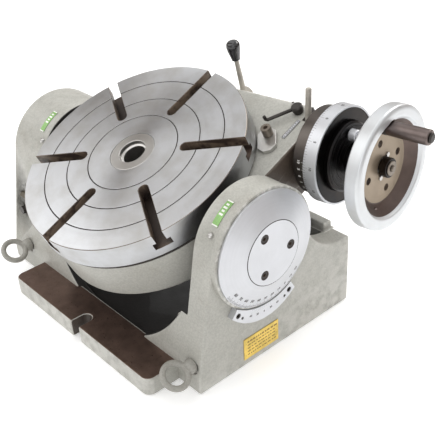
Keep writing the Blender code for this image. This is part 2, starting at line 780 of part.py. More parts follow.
def rotary_table(spin):
    bore, head = SPINDLE_RADIUS + GAP, SPINDLE_HEAD_RADIUS + GAP
    table = turned(
        "rotary_table",
        [
            (head, TABLE_TOP),
            (TABLE_RADIUS, TABLE_TOP),
            (TABLE_RADIUS, TABLE_BOTTOM),
            (TABLE_BOSS_RADIUS, TABLE_BOTTOM),
            (TABLE_BOSS_RADIUS, 0.0183),
            (bore, 0.0183),
            (bore, TABLE_TOP - SPINDLE_HEAD_DEPTH),
            (head, TABLE_TOP - SPINDLE_HEAD_DEPTH),
        ],
        56,
    )
    step = TABLE_TOP - T_SLOT_NECK
    for number in range(T_SLOTS):
        turn = Matrix.Rotation(math.radians(30 + 60 * number), 4, "Z")
        neck = prism(f"neck_{number}", [slot_outline(T_SLOT_WIDTH / 2)], step - 0.001, TABLE_TOP + 0.010)
        wide = prism(f"wide_{number}", [slot_outline(T_SLOT_WIDE / 2)], TABLE_TOP - T_SLOT_DEPTH, step)
        cut(table, place(neck, spin, turn), place(wide, spin, turn))
    part(table, ((0.66, 0.66, 0.66), 0.25, 1.0), spin)
    steel = ((0.55, 0.55, 0.54), 0.25, 1.0)
    taper_top, taper_bottom = 0.0156, 0.0126
    spindle = turned(
        "spindle_sleeve",
        [
            (0.0190, TABLE_TOP - 0.0002),
            (SPINDLE_HEAD_RADIUS, TABLE_TOP - 0.0002),
            (SPINDLE_HEAD_RADIUS, TABLE_TOP - SPINDLE_HEAD_DEPTH + GAP),
            (SPINDLE_RADIUS, TABLE_TOP - SPINDLE_HEAD_DEPTH + GAP),
            (SPINDLE_RADIUS, -0.0610),
            (taper_bottom, -0.0610),
            (taper_top, TABLE_TOP - 0.007),
            (0.0185, TABLE_TOP - 0.006),
        ],
        26,
    )
    part(spindle, steel, spin)
    low, high = WORM_HEIGHT - WHEEL_WIDTH / 2, WORM_HEIGHT + WHEEL_WIDTH / 2
    wheel = worm_wheel("worm_wheel", WHEEL_TEETH, MODULE, WORM_PITCH_RADIUS, bore, low, high)
    part(wheel, ((0.60, 0.42, 0.18), 0.35, 1.0), spin, Matrix.Rotation(WORM_ANGLE, 4, "Z"))
    nut = turned("spindle_nut", [(bore, -0.0503), (0.0410, -0.0503), (0.0410, -0.0600), (bore, -0.0600)], 28)
    part(nut, steel, spin)


# ---------------------------------------------------------------- worm, dial and handwheel


def worm_group(worm):
    steel = ((0.60, 0.60, 0.60), 0.3, 1.0)
    black = ((0.02, 0.02, 0.022), 0.4, 0.6)
    journal = JOURNAL_RADIUS
    shaft = threaded_worm(
        "worm_shaft",
        MODULE,
        WORM_PITCH_RADIUS,
        0.026,
        (
            [(journal, -0.0775), (journal, -0.040), (0.0190, -0.038)],
            [(0.0190, 0.038), (journal, 0.040), (journal, 0.2395), (0.0110, 0.2398), (0.0110, 0.2800)],
        ),
    )
    part(shaft, steel, worm)
    sleeve = turned(
        "eccentric_sleeve",
        [
            (journal + GAP, 0.1895),
            (WORM_BORE - GAP, 0.1895),
            (WORM_BORE - GAP, 0.1150),
            (journal + GAP, 0.1150),
        ],
        28,
    )
    hole_frame = rod_frame()
    hole = cylinder("rod_hole", 0.0043, 0.0180, 0.0400, 12)
    cut(sleeve, place(hole, worm, hole_frame))
    part(sleeve, steel, worm)
    rod = turned(
        "engagement_rod",
        [(0, 0.0770), (0.0032, 0.0770), (0.0040, 0.0762), (0.0040, 0.0183), (0, 0.0183)], 14, ring=False,
    )
    part(rod, steel, worm, hole_frame)
    dial = turned(
        "dial_ring",
        [
            (DIAL_HUB_RADIUS + GAP, DIAL_S[1] - 0.0010),
            (0.0610, DIAL_S[1] - 0.0010),
            (0.0620, DIAL_S[1]),
            (DIAL_RADIUS, DIAL_S[1]),
            (DIAL_RADIUS, DIAL_S[0]),
            (DIAL_HUB_RADIUS + GAP, DIAL_S[0]),
        ],
        40,
    )
    part(dial, ((0.62, 0.63, 0.64), 0.3, 1.0), worm)
    hub = turned(
        "dial_hub",
        [(journal + GAP, 0.2360), (0.0435, 0.2360), (DIAL_HUB_RADIUS, 0.2340), (DIAL_HUB_RADIUS, DIAL_S[0]),
         (journal + GAP, DIAL_S[0])],
        30,
    )
    part(hub, black, worm)
    knob = turned(
        "dial_lock_knob",
        [(0, 0.2490), (0.0066, 0.2490), (0.0076, 0.2478), (0.0076, 0.2385), (0.0045, 0.2363), (0, 0.2363)],
        16,
        ring=False,
    )
    place_at = Vector((math.cos(math.radians(23)), -math.sin(math.radians(23)), 0)) * 0.0317
    part(knob, steel, worm, Matrix.Translation(place_at))
    handwheel(worm, steel, black)


def rod_frame():
    """Local Z points radially out of the worm's axis, where the engagement rod stands."""
    out = Vector((math.cos(ROD_ANGLE), -math.sin(ROD_ANGLE), 0))
    along = Vector((0, 0, 1))
    return axes(along, out.cross(along), out, (0, 0, ROD_S))


def handwheel(worm, steel, black):
    rim = turned(
        "handwheel",
        [
            (0.0113, WEB_S[1]),
            (0.0475, WEB_S[1]),
            (0.0610, 0.2940),
            (0.0650, 0.2997),
            (0.0740, 0.2997),
            (HANDWHEEL_RADIUS, 0.2965),
            (HANDWHEEL_RADIUS, 0.2815),
            (0.0740, 0.2785),
            (0.0660, 0.2785),
            (0.0510, WEB_S[0]),
            (0.0220, WEB_S[0]),
            (0.0220, 0.2400),
            (0.0113, 0.2400),
        ],
        36,
    )
    out = Vector((math.cos(HANDLE_ANGLE), -math.sin(HANDLE_ANGLE), 0)) * HANDLE_OFFSET
    handle_at = Matrix.Translation(out)
    pocket = cylinder("handle_pocket", 0.0110, 0.2870, 0.3100, 16)
    stem = cylinder("handle_stem_hole", 0.0053, 0.2500, 0.2900, 12)
    cut(rim, place(pocket, worm, handle_at), place(stem, worm, handle_at))
    for number in range(4):
        angle = math.radians(12 + 90 * number)
        spot = Matrix.Translation((0.0328 * math.cos(angle), -0.0328 * math.sin(angle), 0))
        hole = cylinder(f"web_hole_{number}", 0.0048, 0.2600, 0.2900, 10)
        cut(rim, place(hole, worm, spot))
    part(rim, ((0.72, 0.72, 0.71), 0.3, 0.8), worm)
    boss = turned(
        "hub_boss",
        [(0.0033, 0.2948), (0.0118, 0.2948), (0.0125, 0.2941), (0.0125, 0.2843), (0.0033, 0.2843)],
        24,
    )
    part(boss, black, worm)
    washer = turned(
        "hub_washer",
        [(0.0033, 0.2966), (0.0088, 0.2966), (0.0095, 0.2960), (0.0095, 0.2951), (0.0033, 0.2951)],
        16,
    )
    part(washer, steel, worm)
    screw = turned(
        "hub_screw",
        [
            (0, 0.2990),
            (0.0030, 0.2990),
            (0.0042, 0.2980),
            (0.0042, 0.2969),
            (0.0030, 0.2969),
            (0.0030, 0.2805),
            (0, 0.2805),
        ],
        12,
        ring=False,
    )
    part(screw, steel, worm)
    spindle = turned(
        "handle_spindle",
        [
            (0, 0.3515),
            (0.0050, 0.3515),
            (0.0062, 0.3503),
            (0.0062, 0.3490),
            (0.0046, 0.3490),
            (0.0046, 0.2935),
            (0.0092, 0.2935),
            (0.0092, 0.2873),
            (0.0050, 0.2873),
            (0.0050, 0.2740),
            (0, 0.2740),
        ],
        14,
        ring=False,
    )
    part(spindle, black, worm, handle_at)
    grip = turned(
        "handle_grip",
        [
            (0.0049, 0.3487),
            (0.0084, 0.3487),
            (0.0094, 0.3477),
            (0.0095, 0.3300),
            (0.0091, 0.3100),
            (0.0088, 0.2950),
            (0.0082, 0.2938),
            (0.0049, 0.2938),
        ],
        14,
    )
    part(grip, ((0.42, 0.39, 0.37), 0.25, 1.0), worm, handle_at)


def levers(tilt):
    """The long clamp lever behind the drum, and the short clamp lever on the housing."""
    steel = ((0.55, 0.54, 0.52), 0.3, 1.0)
    black = ((0.02, 0.02, 0.022), 0.35, 0.0)
    along = Vector((math.cos(WORM_ANGLE), math.sin(WORM_ANGLE), 0))
    out = Vector((-along.y, along.x, 0))
    root = worm_point(0.0325, HOUSING_REAR_W, 0.012)
    pivot = axes(along, out.cross(along), out, root)
    boss = turned(
        "table_clamp_lever",
        [(0, 0.0170), (0.0085, 0.0170), (0.0105, 0.0150), (0.0105, GAP), (0, GAP)], 20, ring=False,
    )
    lean = math.radians(13)
    rise = Vector((0, -math.cos(lean), math.sin(lean)))
    start = Vector((0, 0, 0.0075))
    rod_turn = axes((1, 0, 0), rise.cross(Vector((1, 0, 0))), rise, start)
    bar = turned("clamp_bar", [(0, 0.0562), (0.0032, 0.0562), (0.0042, 0.0020), (0, 0.0020)], 10, ring=False)
    join(boss, place(bar, tilt, pivot @ rod_turn))
    part(boss, steel, tilt, pivot)
    knob = turned(
        "table_clamp_knob",
        [
            (0, 0.0857),
            (0.0060, 0.0847),
            (0.0090, 0.0822),
            (0.0098, 0.0785),
            (0.0092, 0.0725),
            (0.0062, 0.0585),
            (0.0058, 0.0567),
            (0, 0.0567),
        ],
        16,
        ring=False,
    )
    part(knob, black, tilt, pivot @ rod_turn)
    short_root = Vector((0.1339, 0.1736, HOUSING_TOP))
    short = turned(
        "worm_clamp_lever",
        [
            (0, 0.0120),
            (0.0062, 0.0120),
            (0.0078, 0.0104),
            (0.0078, 0.0050),
            (0.0066, 0.0030),
            (0.0066, GAP),
            (0, GAP),
        ],
        16,
        ring=False,
    )
    reach = Vector((-0.0242, -0.0326, 0))
    line = ((0, 0.0080), (0.5, 0.0078), (1, 0.0075), (1.06, 0.0095), (1.07, 0.0150))
    arm = tube("clamp_arm", [reach * share + Vector((0, 0, height)) for share, height in line], 0.0024)
    join(short, place(arm, tilt, Matrix.Translation(short_root)))
    part(short, black, tilt, Matrix.Translation(short_root))


def tilt_worm():
    shaft = threaded_worm(
        "tilt_worm",
        TILT_MODULE,
        TILT_WORM_PITCH_RADIUS,
        0.018,
        (
            [(0.0080, -0.0570), (0.0080, -0.0235), (0.0120, -0.0225)],
            [(0.0120, 0.0225), (0.0080, 0.0235), (0.0080, 0.0930), (0.0062, 0.0935), (0.0062, 0.1040)],
        ),
    )
    part(shaft, ((0.5, 0.5, 0.5), 0.3, 1.0), None, TILT_WORM_LINE)


def main():
    clear_scene()
    tilt = frame_empty(
        "tilt_axis", Matrix.Translation((0, 0, TRUNNION_Z)) @ Matrix.Rotation(REST_TILT, 4, "X")
    )
    spin = frame_empty("table_axis", Matrix(), tilt)
    along = Vector((math.cos(WORM_ANGLE), math.sin(WORM_ANGLE), 0))
    up = Vector((0, 0, 1))
    worm = frame_empty("worm_axis", axes(up, along.cross(up), along, worm_point(0)), tilt)
    base_casting()
    base_fittings()
    cradle_body(tilt, worm)
    cradle_fittings(tilt, worm)
    rotary_table(spin)
    worm_group(worm)
    levers(tilt)
    tilt_worm()


main()
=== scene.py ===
import json
import math
import random

import bmesh
import bpy
from mathutils import Matrix, Vector


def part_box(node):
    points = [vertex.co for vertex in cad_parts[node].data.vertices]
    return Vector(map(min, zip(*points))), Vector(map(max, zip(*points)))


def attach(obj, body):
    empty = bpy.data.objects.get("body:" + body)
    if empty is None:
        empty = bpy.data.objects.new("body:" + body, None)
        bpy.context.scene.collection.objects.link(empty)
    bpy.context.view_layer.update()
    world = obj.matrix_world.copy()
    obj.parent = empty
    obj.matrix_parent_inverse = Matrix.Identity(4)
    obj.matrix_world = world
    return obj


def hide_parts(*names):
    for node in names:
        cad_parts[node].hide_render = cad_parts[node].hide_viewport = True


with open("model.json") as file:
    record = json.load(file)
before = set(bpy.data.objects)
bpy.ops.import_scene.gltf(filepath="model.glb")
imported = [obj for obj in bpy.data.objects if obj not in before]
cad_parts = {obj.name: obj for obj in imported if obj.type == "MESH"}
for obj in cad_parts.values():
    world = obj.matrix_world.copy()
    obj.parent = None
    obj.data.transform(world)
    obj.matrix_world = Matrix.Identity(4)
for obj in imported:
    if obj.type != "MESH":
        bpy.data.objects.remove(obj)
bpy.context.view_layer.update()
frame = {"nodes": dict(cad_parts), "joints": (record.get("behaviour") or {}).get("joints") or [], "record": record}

TAU = math.tau
X, Y, Z = Vector((1, 0, 0)), Vector((0, 1, 0)), Vector((0, 0, 1))

# ---- places, taken from the frame


def axes(x, y, z, origin=(0, 0, 0)):
    """A matrix whose columns are these three directions."""
    return Matrix.Translation(origin) @ Matrix((x, y, z)).transposed().to_4x4()


JOINTS = {joint["name"]: joint for joint in frame["joints"]}
BODY_OF = {node: body for body, nodes in frame["record"]["behaviour"]["bodies"].items() for node in nodes}
SLOT_OF = {entry["node"]: entry["material_slot"] for entry in frame["record"]["subparts"]}
TRUNNION = Vector(JOINTS["tilt"]["pos_m"])
UP = Vector(JOINTS["table_spin"]["axis"])
ALONG = Vector(JOINTS["worm_spin"]["axis"])
OUT = ALONG.cross(UP)
TILT = axes(X, UP.cross(X), UP, TRUNNION)
WORM = axes(UP, OUT, ALONG, JOINTS["worm_spin"]["pos_m"])
CHEEKS = axes(Y, Z, X, TRUNNION)
TRUNNIONS = TILT @ axes(Y, Z, X)
TILT_SCREW = axes(X, Z, -Y, JOINTS["tilt_worm_spin"]["pos_m"])
GRIP = axes(UP, OUT, ALONG, JOINTS["grip_spin"]["pos_m"])
LOCK_KNOB = axes(UP, OUT, ALONG, JOINTS["dial_lock"]["pos_m"])
ROD_ANGLE, ROD_AT = math.radians(29), 0.170        # about and along the worm's axis
ROD_OUT = UP * math.cos(ROD_ANGLE) - OUT * math.sin(ROD_ANGLE)
ROD = axes(ALONG, ROD_OUT.cross(ALONG), ROD_OUT, WORM.translation + ALONG * ROD_AT)

# ---- materials


def shader(name, colour, roughness, metallic=0.0):
    made = bpy.data.materials.new(name)
    made.use_nodes = True
    constants(made, {"Base Color": (*colour, 1), "Roughness": roughness, "Metallic": metallic})
    return made


def constants(made, values):
    """Sets the surface's sockets that hold a plain value."""
    for socket, value in values.items():
        made.node_tree.nodes["Principled BSDF"].inputs[socket].default_value = value


def node(made, kind, inputs=(), **settings):
    added = made.node_tree.nodes.new("ShaderNode" + kind)
    for key, value in settings.items():
        setattr(added, key, value)
    for key, value in inputs:
        if isinstance(value, bpy.types.NodeSocket):
            made.node_tree.links.new(value, added.inputs[key])
        else:
            added.inputs[key].default_value = value
    return added


def surface(made, socket, value):
    made.node_tree.links.new(value, made.node_tree.nodes["Principled BSDF"].inputs[socket])


def noise(made, scale, detail=3, where=None, roughness=0.55):
    """Noise in the object's own space, or along another vector."""
    vector = where or node(made, "TexCoord").outputs["Object"]
    entries = [("Vector", vector), ("Scale", scale), ("Detail", detail), ("Roughness", roughness)]
    return node(made, "TexNoise", entries).outputs["Fac"]


def ramp(made, value, low, high, start=0.0, end=1.0):
    """value from low..high mapped to start..end."""
    entries = [("Value", value), ("From Min", low), ("From Max", high), ("To Min", start), ("To Max", end)]
    return node(made, "MapRange", entries).outputs["Result"]


def mixed(made, factor, first, second):
    """A colour between two; each is a colour or a socket."""
    added = node(made, "Mix", [(0, factor)], data_type="RGBA")
    for slot, value in ((6, first), (7, second)):
        if isinstance(value, bpy.types.NodeSocket):
            made.node_tree.links.new(value, added.inputs[slot])
        else:
            added.inputs[slot].default_value = (*value, 1)
    return added.outputs[2]


def product(made, first, second):
    return node(made, "Math", [(0, first), (1, second)], operation="MULTIPLY").outputs[0]


def bumps(made, *layers):
    """Bump layers of (height, strength, distance in metres), one on another."""
    normal = None
    for height, strength, distance in layers:
        entries = [("Height", height), ("Strength", strength), ("Distance", distance)]
        if normal:
            entries.append(("Normal", normal))
        normal = node(made, "Bump", entries).outputs["Normal"]
    surface(made, "Normal", normal)


def tinted(colour, gain):
    return tuple(min(1.0, c * gain) for c in colour)


def rings(made, scale, detail=2):
    """Noise that changes only with the distance from the object's Z axis and, slowly, along it."""
    where = node(made, "TexCoord").outputs["Object"]
    split = node(made, "SeparateXYZ", [(0, where)])
    flat = node(made, "CombineXYZ", [(0, split.outputs[0]), (1, split.outputs[1])])
    radius = node(made, "VectorMath", [(0, flat.outputs[0])], operation="LENGTH").outputs["Value"]
    line = node(made, "CombineXYZ", [(0, radius), (2, split.outputs[2])])
    return noise(made, scale, detail, line.outputs[0], 0.7)


def cast_paint(name, colour, dirt=(0.17, 0.12, 0.075), coarse=1.0, worn_and_highlight=(0.66, 0.65, 0.61)):
    """Enamel over a sand-cast surface: uneven tone, oily stains, specks, pits, and pale edges that are both wear
    and a painted highlight along rounded edges.
    """
    made = shader(name, colour, 0.42)
    constants(made, {"Coat Weight": 0.15})
    tone = mixed(made, ramp(made, noise(made, 9, 4), 0.35, 0.66), tinted(colour, 0.88), tinted(colour, 1.10))
    stain = ramp(made, noise(made, 13, 7, roughness=0.65), 0.56, 0.76, 0.0, 0.40)
    stained = mixed(made, stain, tone, dirt)
    sand = ramp(made, noise(made, 420, 2), 0.36, 0.64)
    sanded = mixed(made, 0.30, stained, mixed(made, sand, tinted(colour, 0.72), tinted(colour, 1.30)))
    speck = ramp(made, noise(made, 700, 2), 0.68, 0.76, 0.0, 0.6)
    specked = mixed(made, speck, sanded, dirt)
    # Pale edges: wear, together with a painted highlight where light catches the rounded edges.
    edge = ramp(made, node(made, "NewGeometry").outputs["Pointiness"], 0.52, 0.58)
    patchy = ramp(made, noise(made, 70, 5), 0.38, 0.56)
    surface(made, "Base Color", mixed(made, product(made, edge, patchy), specked, worn_and_highlight))
    surface(made, "Roughness", ramp(made, noise(made, 40, 4), 0.3, 0.7, 0.34, 0.56))
    grain = noise(made, 300, 3)
    bumps(made, (noise(made, 36, 2), 0.35 * coarse, 0.0012), (grain, 0.5 * coarse, 0.00035))
    return made


def turned_metal(name, colour, roughness, anisotropic, tint=None, fine=2600, metallic=1.0, depth=0.00001):
    """Lathe-turned metal: hair-fine rings about the object's Z axis, which stretch its highlights."""
    made = shader(name, colour, roughness, metallic)
    constants(made, {"Anisotropic": anisotropic})
    surface(made, "Tangent", node(made, "Tangent", direction_type="RADIAL", axis="Z").outputs[0])
    line = rings(made, fine)
    cloud = ramp(made, noise(made, 30, 5), 0.40, 0.72, 0.0, 0.7)
    stained = mixed(made, cloud, colour, tint or tinted(colour, 0.82))
    ringed = ramp(made, line, 0.3, 0.7, 0.0, 0.25)
    surface(made, "Base Color", mixed(made, ringed, stained, tinted(colour, 0.8)))
    broad = rings(made, fine / 6)
    surface(made, "Roughness", ramp(made, broad, 0.3, 0.7, roughness * 0.88, roughness * 1.15))
    bumps(made, (line, 0.2, depth), (noise(made, 500, 2), 0.08, 0.00003))
    return made


def plain_metal(name, colour, roughness, metallic=1.0, grain=700):
    """Machined or blackened metal with small scratches and handling marks."""
    made = shader(name, colour, roughness, metallic)
    where = node(made, "TexCoord").outputs["Object"]
    stretched = node(made, "Mapping", [(0, where), (3, (1.0, 0.12, 1.0))]).outputs[0]
    scratch = noise(made, grain, 3, stretched)
    blotch = ramp(made, noise(made, 55, 5), 0.38, 0.70)
    surface(made, "Base Color", mixed(made, blotch, tinted(colour, 1.12), tinted(colour, 0.75)))
    surface(made, "Roughness", ramp(made, scratch, 0.3, 0.7, roughness * 0.75, roughness * 1.3))
    bumps(made, (scratch, 0.3, 0.00004), (noise(made, 90, 3), 0.2, 0.0002))
    return made


def moulded(name, colour, roughness):
    """Gloss plastic, with a faint waviness and dust."""
    made = shader(name, colour, roughness)
    constants(made, {"Coat Weight": 0.6})
    dust = ramp(made, noise(made, 260, 4), 0.62, 0.80, 0.0, 0.35)
    surface(made, "Base Color", mixed(made, dust, colour, (0.22, 0.21, 0.20)))
    surface(made, "Roughness", ramp(made, noise(made, 80), 0.3, 0.7, roughness * 0.7, roughness * 1.5))
    bumps(made, (noise(made, 120, 2), 0.15, 0.0002))
    return made


PAINT = (0.385, 0.380, 0.345)
FINEST, COARSE = 0.000008, 0.00002        # depths of turning marks
LOOKS = {
    "casting_paint": cast_paint("casting_paint", PAINT),
    "table_steel": turned_metal(
        "table_steel", (0.62, 0.63, 0.65), 0.38, 0.8, (0.45, 0.44, 0.42), depth=FINEST,
    ),
    "satin_steel": turned_metal(
        "satin_steel", (0.66, 0.67, 0.70), 0.45, 0.2, (0.60, 0.61, 0.63), metallic=0.85, depth=COARSE,
    ),
    "bright_steel": turned_metal("bright_steel", (0.62, 0.61, 0.59), 0.34, 0.4),
    "black_steel": plain_metal("black_steel", (0.05, 0.045, 0.042), 0.38, 0.7),
    "black_turned": turned_metal("black_turned", (0.022, 0.021, 0.022), 0.30, 0.7, (0.045, 0.036, 0.030)),
    "collar_steel": turned_metal("collar_steel", (0.13, 0.115, 0.105), 0.34, 0.5, (0.06, 0.048, 0.042)),
    "handwheel_metal": turned_metal(
        "handwheel_metal", (0.69, 0.71, 0.73), 0.42, 0.1, (0.62, 0.63, 0.64), metallic=0.85,
    ),
    "grip_steel": turned_metal("grip_steel", (0.20, 0.165, 0.155), 0.36, 0.3, (0.11, 0.085, 0.08)),
    "bronze": plain_metal("bronze", (0.55, 0.37, 0.17), 0.36),
    "eye_steel": cast_paint("eye_steel", (0.30, 0.29, 0.26), coarse=0.7, worn_and_highlight=(0.36, 0.35, 0.32)),
    "plate_brass": plain_metal("plate_brass", (0.80, 0.58, 0.14), 0.34, 0.45),
    "tag_enamel": plain_metal("tag_enamel", (0.22, 0.42, 0.13), 0.3, 0.0),
    "knob_plastic": moulded("knob_plastic", (0.012, 0.012, 0.013), 0.16),
}
# Painted reflection: the ledges' bare iron tops coloured dark brown, as if mirroring dark surroundings.
LEDGE_REFLECTION_IRON = plain_metal("ledge_reflection_iron", (0.150, 0.098, 0.078), 0.36, 0.7, 260)
# Painted shade: near-black brown for the walls of slots, holes, sockets and pockets.
RECESS_SHADE = cast_paint("recess_shade", (0.050, 0.034, 0.027), (0.012, 0.009, 0.008), 1.4, (0.20, 0.15, 0.11))
SHADOW_PAINT = cast_paint("inner_shadow_paint", (0.060, 0.045, 0.036), (0.03, 0.02, 0.015), worn_and_highlight=(0.16, 0.13, 0.11))
# Painted shade: near-black for the well, the valley and the drum's underside.
WELL_SHADE_PAINT = cast_paint("well_shade_paint", (0.022, 0.020, 0.019), (0.012, 0.010, 0.009), worn_and_highlight=(0.05, 0.045, 0.04))
# Painted shade: dark brown for the housing's right side.
SIDE_SHADE_PAINT = cast_paint("side_shade_paint", (0.105, 0.080, 0.062), (0.05, 0.03, 0.02), worn_and_highlight=(0.30, 0.27, 0.24))
LEVER_GREY = plain_metal("lever_grey", (0.46, 0.43, 0.38), 0.5, 0.35)
OILY_STEEL = plain_metal("oily_steel", (0.22, 0.19, 0.16), 0.35, 0.9)
# Painted shade: near-black for the table's turned circles and lower edge, and the drum's band under the table.
GROOVE_SHADE = plain_metal("groove_shade", (0.035, 0.028, 0.024), 0.6, 0.2)
# Painted reflection: dark brown for the handwheel's dish wall and its spot pad.
DISH_REFLECTION_BROWN = turned_metal(
    "dish_reflection_brown", (0.125, 0.090, 0.078), 0.36, 0.3, (0.06, 0.045, 0.04), 900, 0.6, COARSE,
)
# Painted reflection: tan for the handwheel's web.
WEB_REFLECTION_TAN = turned_metal("web_reflection_tan", (0.34, 0.275, 0.205), 0.40, 0.3, (0.24, 0.19, 0.14), 900, 0.6, COARSE)
OLD_BRONZE = plain_metal("old_bronze", (0.085, 0.068, 0.042), 0.5, 0.7)
MARK_INK = plain_metal("mark_ink", (0.035, 0.030, 0.028), 0.6, 0.0)
MARK_WHITE = plain_metal("mark_white", (0.80, 0.79, 0.76), 0.5, 0.0)

# ---- shapes


def new_object(name, data):
    made = bpy.data.objects.new(name, data)
    bpy.context.scene.collection.objects.link(made)
    return made


def add(name, bm, matrix):
    mesh = bpy.data.meshes.new(name)
    bmesh.ops.recalc_face_normals(bm, faces=bm.faces)
    bm.to_mesh(mesh)
    bm.free()
    obj = new_object(name, mesh)
    obj.matrix_world = matrix
    return obj


def arc(radius, start, end, steps, centre=(0, 0)):
    """Points on an arc, with its angles in degrees."""
    angles = [math.radians(start + (end - start) * i / steps) for i in range(steps + 1)]
    return [(centre[0] + radius * math.cos(a), centre[1] + radius * math.sin(a)) for a in angles]


def rounded(points, radius, ring, steps=3):
    """An outline with its corners rounded; an open one keeps its two ends."""
    made = []
    for i, corner in enumerate(points):
        ends = not ring and i in (0, len(points) - 1)
        here = Vector(corner)
        before, after = Vector(points[i - 1]) - here, Vector(points[(i + 1) % len(points)]) - here
        if ends or not before.length or not after.length or before.angle(after) > math.radians(160):
            made.append(tuple(here))
            continue
        reach = min(radius, before.length * 0.45, after.length * 0.45)
        start, end = here + before.normalized() * reach, here + after.normalized() * reach
        for k in range(steps + 1):
            t = k / steps
            made.append(tuple(start * (1 - t) ** 2 + here * 2 * t * (1 - t) + end * t**2))
    return made


def turned(name, profile, matrix, rounding=0.0005, steps=144):
    """A (radius, height) outline turned about local Z; one that starts on the axis is open."""
    ring = profile[0][0] > 1e-5
    outline = rounded(profile, rounding, ring) if rounding else profile
    bm = bmesh.new()
    line = [bm.verts.new((r, 0, z)) for r, z in outline]
    pairs = list(zip(line, line[1:])) + ([(line[-1], line[0])] if ring else [])
    edges = [bm.edges.new(pair) for pair in pairs]
    bmesh.ops.spin(
        bm, geom=line + edges, cent=(0, 0, 0), axis=(0, 0, 1), angle=TAU, steps=steps, use_merge=True
    )
    bmesh.ops.remove_doubles(bm, verts=bm.verts, dist=1e-7)
    return add(name, bm, matrix)


def stack(name, layers, matrix):
    """A solid lofted through outlines of (points, height), all with as many points."""
    bm = bmesh.new()
    rows = [[bm.verts.new((x, y, z)) for x, y in points] for points, z in layers]
    for low, high in zip(rows, rows[1:]):
        for i, start in enumerate(low):
            j = (i + 1) % len(low)
            bm.faces.new((start, low[j], high[j], high[i]))
    bm.faces.new(rows[0])
    bm.faces.new(rows[-1])
    return add(name, bm, matrix)


def prism(name, points, low, high, matrix=Matrix()):
    return stack(name, [(points, low), (points, high)], matrix)


def box(name, low, high, matrix=Matrix()):
    corners = [(low[0], low[1]), (high[0], low[1]), (high[0], high[1]), (low[0], high[1])]
    return prism(name, corners, low[2], high[2], matrix)


def rod(name, radius, low, high, matrix, steps=48):
    return prism(name, arc(radius, 0, 360 - 360 / steps, steps - 1), low, high, matrix)


def evaluated_mesh(obj):
    bpy.context.view_layer.update()
    return bpy.data.meshes.new_from_object(obj.evaluated_get(bpy.context.evaluated_depsgraph_get()))


def baked(obj):
    """Turns the object's modifiers into its mesh."""
    mesh = evaluated_mesh(obj)
    obj.modifiers.clear()
    obj.data = mesh
    return obj


def combined(target, operation, *others):
    """A Boolean with other solids, which are used up; cut faces take the cutter's material."""
    for other in others:
        modifier = target.modifiers.new(other.name, "BOOLEAN")
        modifier.operation = operation
        modifier.object = other
        modifier.material_mode = "TRANSFER"
    baked(target)
    for other in others:
        bpy.data.objects.remove(other)
    return target


def cut(target, *others):
    return combined(target, "DIFFERENCE", *others)


def join(target, *others):
    return combined(target, "UNION", *others)


def bevelled(obj, width, segments=3, angle=40):
    modifier = obj.modifiers.new("rounding", "BEVEL")
    modifier.width = width
    modifier.segments = segments
    modifier.limit_method = "ANGLE"
    modifier.angle_limit = math.radians(angle)
    modifier.use_clamp_overlap = False
    return obj


def painted(obj, look):
    obj.data.materials.clear()
    obj.data.materials.append(look)
    return obj


def repainted(obj, look, chosen, line=Matrix()):
    """Gives a look to the faces whose centre and normal, seen from a line's frame, are chosen."""
    obj.data.materials.append(look)
    inside = line.inverted() @ obj.matrix_world
    for face in obj.data.polygons:
        if chosen(inside @ face.center, inside.to_3x3() @ face.normal):
            face.material_index = len(obj.data.materials) - 1


def piece(obj, body, slot, *nodes, look=None, sharp=38):
    """Shades a finished piece, gives it its slot's finish when it has none, attaches it to its body and hides the
    CAD nodes it stands for.
    """
    if not obj.data.materials:
        painted(obj, look or LOOKS[slot])
    obj.data.shade_smooth()
    obj.data.set_sharp_from_angle(angle=math.radians(sharp))
    weighted = obj.modifiers.new("even shading", "WEIGHTED_NORMAL")
    weighted.keep_sharp = True
    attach(obj, body)
    if nodes:
        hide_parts(*nodes)
    return obj


def stands_for(obj, name, look=None, sharp=38):
    """A piece that takes the body, finish and place of one CAD node."""
    return piece(obj, BODY_OF[name], SLOT_OF[name], name, look=look, sharp=sharp)


def outline_of(name, line):
    """The (radius, height) outline of a turned CAD node, read in one half plane through its axis."""
    mesh = frame["nodes"][name].data
    inverse = line.inverted()
    places = [inverse @ vertex.co for vertex in mesh.vertices]
    widest = max(places, key=lambda p: p.xy.length)
    direction = widest.xy.normalized()
    found = {}
    for edge in mesh.edges:
        ends = [places[i] for i in edge.vertices]
        inside = [abs(direction.cross(p.xy)) < 2e-5 and direction.dot(p.xy) > -1e-5 for p in ends]
        if all(inside):
            keys = [(round(max(0.0, direction.dot(p.xy)), 5), round(p.z, 5)) for p in ends]
            if keys[0] != keys[1]:
                found.setdefault(keys[0], set()).add(keys[1])
                found.setdefault(keys[1], set()).add(keys[0])
    ends = sorted((key for key in found if len(found[key]) == 1), key=lambda key: -key[1])
    here = ends[0] if ends else max(found)
    outline, before = [here], None
    while True:
        onward = sorted(key for key in found[here] if key != before and key not in outline)
        if not onward:
            break
        before, here = here, onward[0]
        outline.append(here)
    if ends:
        outline = [(0.0, outline[0][1])] * (outline[0][0] > 0) + outline
        outline += [(0.0, outline[-1][1])] * (outline[-1][0] > 0)
    return outline


def softened(name, width, matrix=Matrix(), segments=2, angle=35):
    """A CAD node's shape with its edges rounded."""
    bm = bmesh.new()
    bm.from_mesh(frame["nodes"][name].data)
    bmesh.ops.remove_doubles(bm, verts=bm.verts, dist=1e-6)
    bmesh.ops.transform(bm, verts=bm.verts, matrix=matrix.inverted())
    bmesh.ops.dissolve_limit(bm, angle_limit=math.radians(1), verts=bm.verts, edges=bm.edges)
    return bevelled(add(name + "_visual", bm, matrix), width, segments, angle)


# ---- marks and numerals


def on_cylinder(radius):
    return lambda a, z, h: ((radius + h) * math.cos(a), (radius + h) * math.sin(a), z)


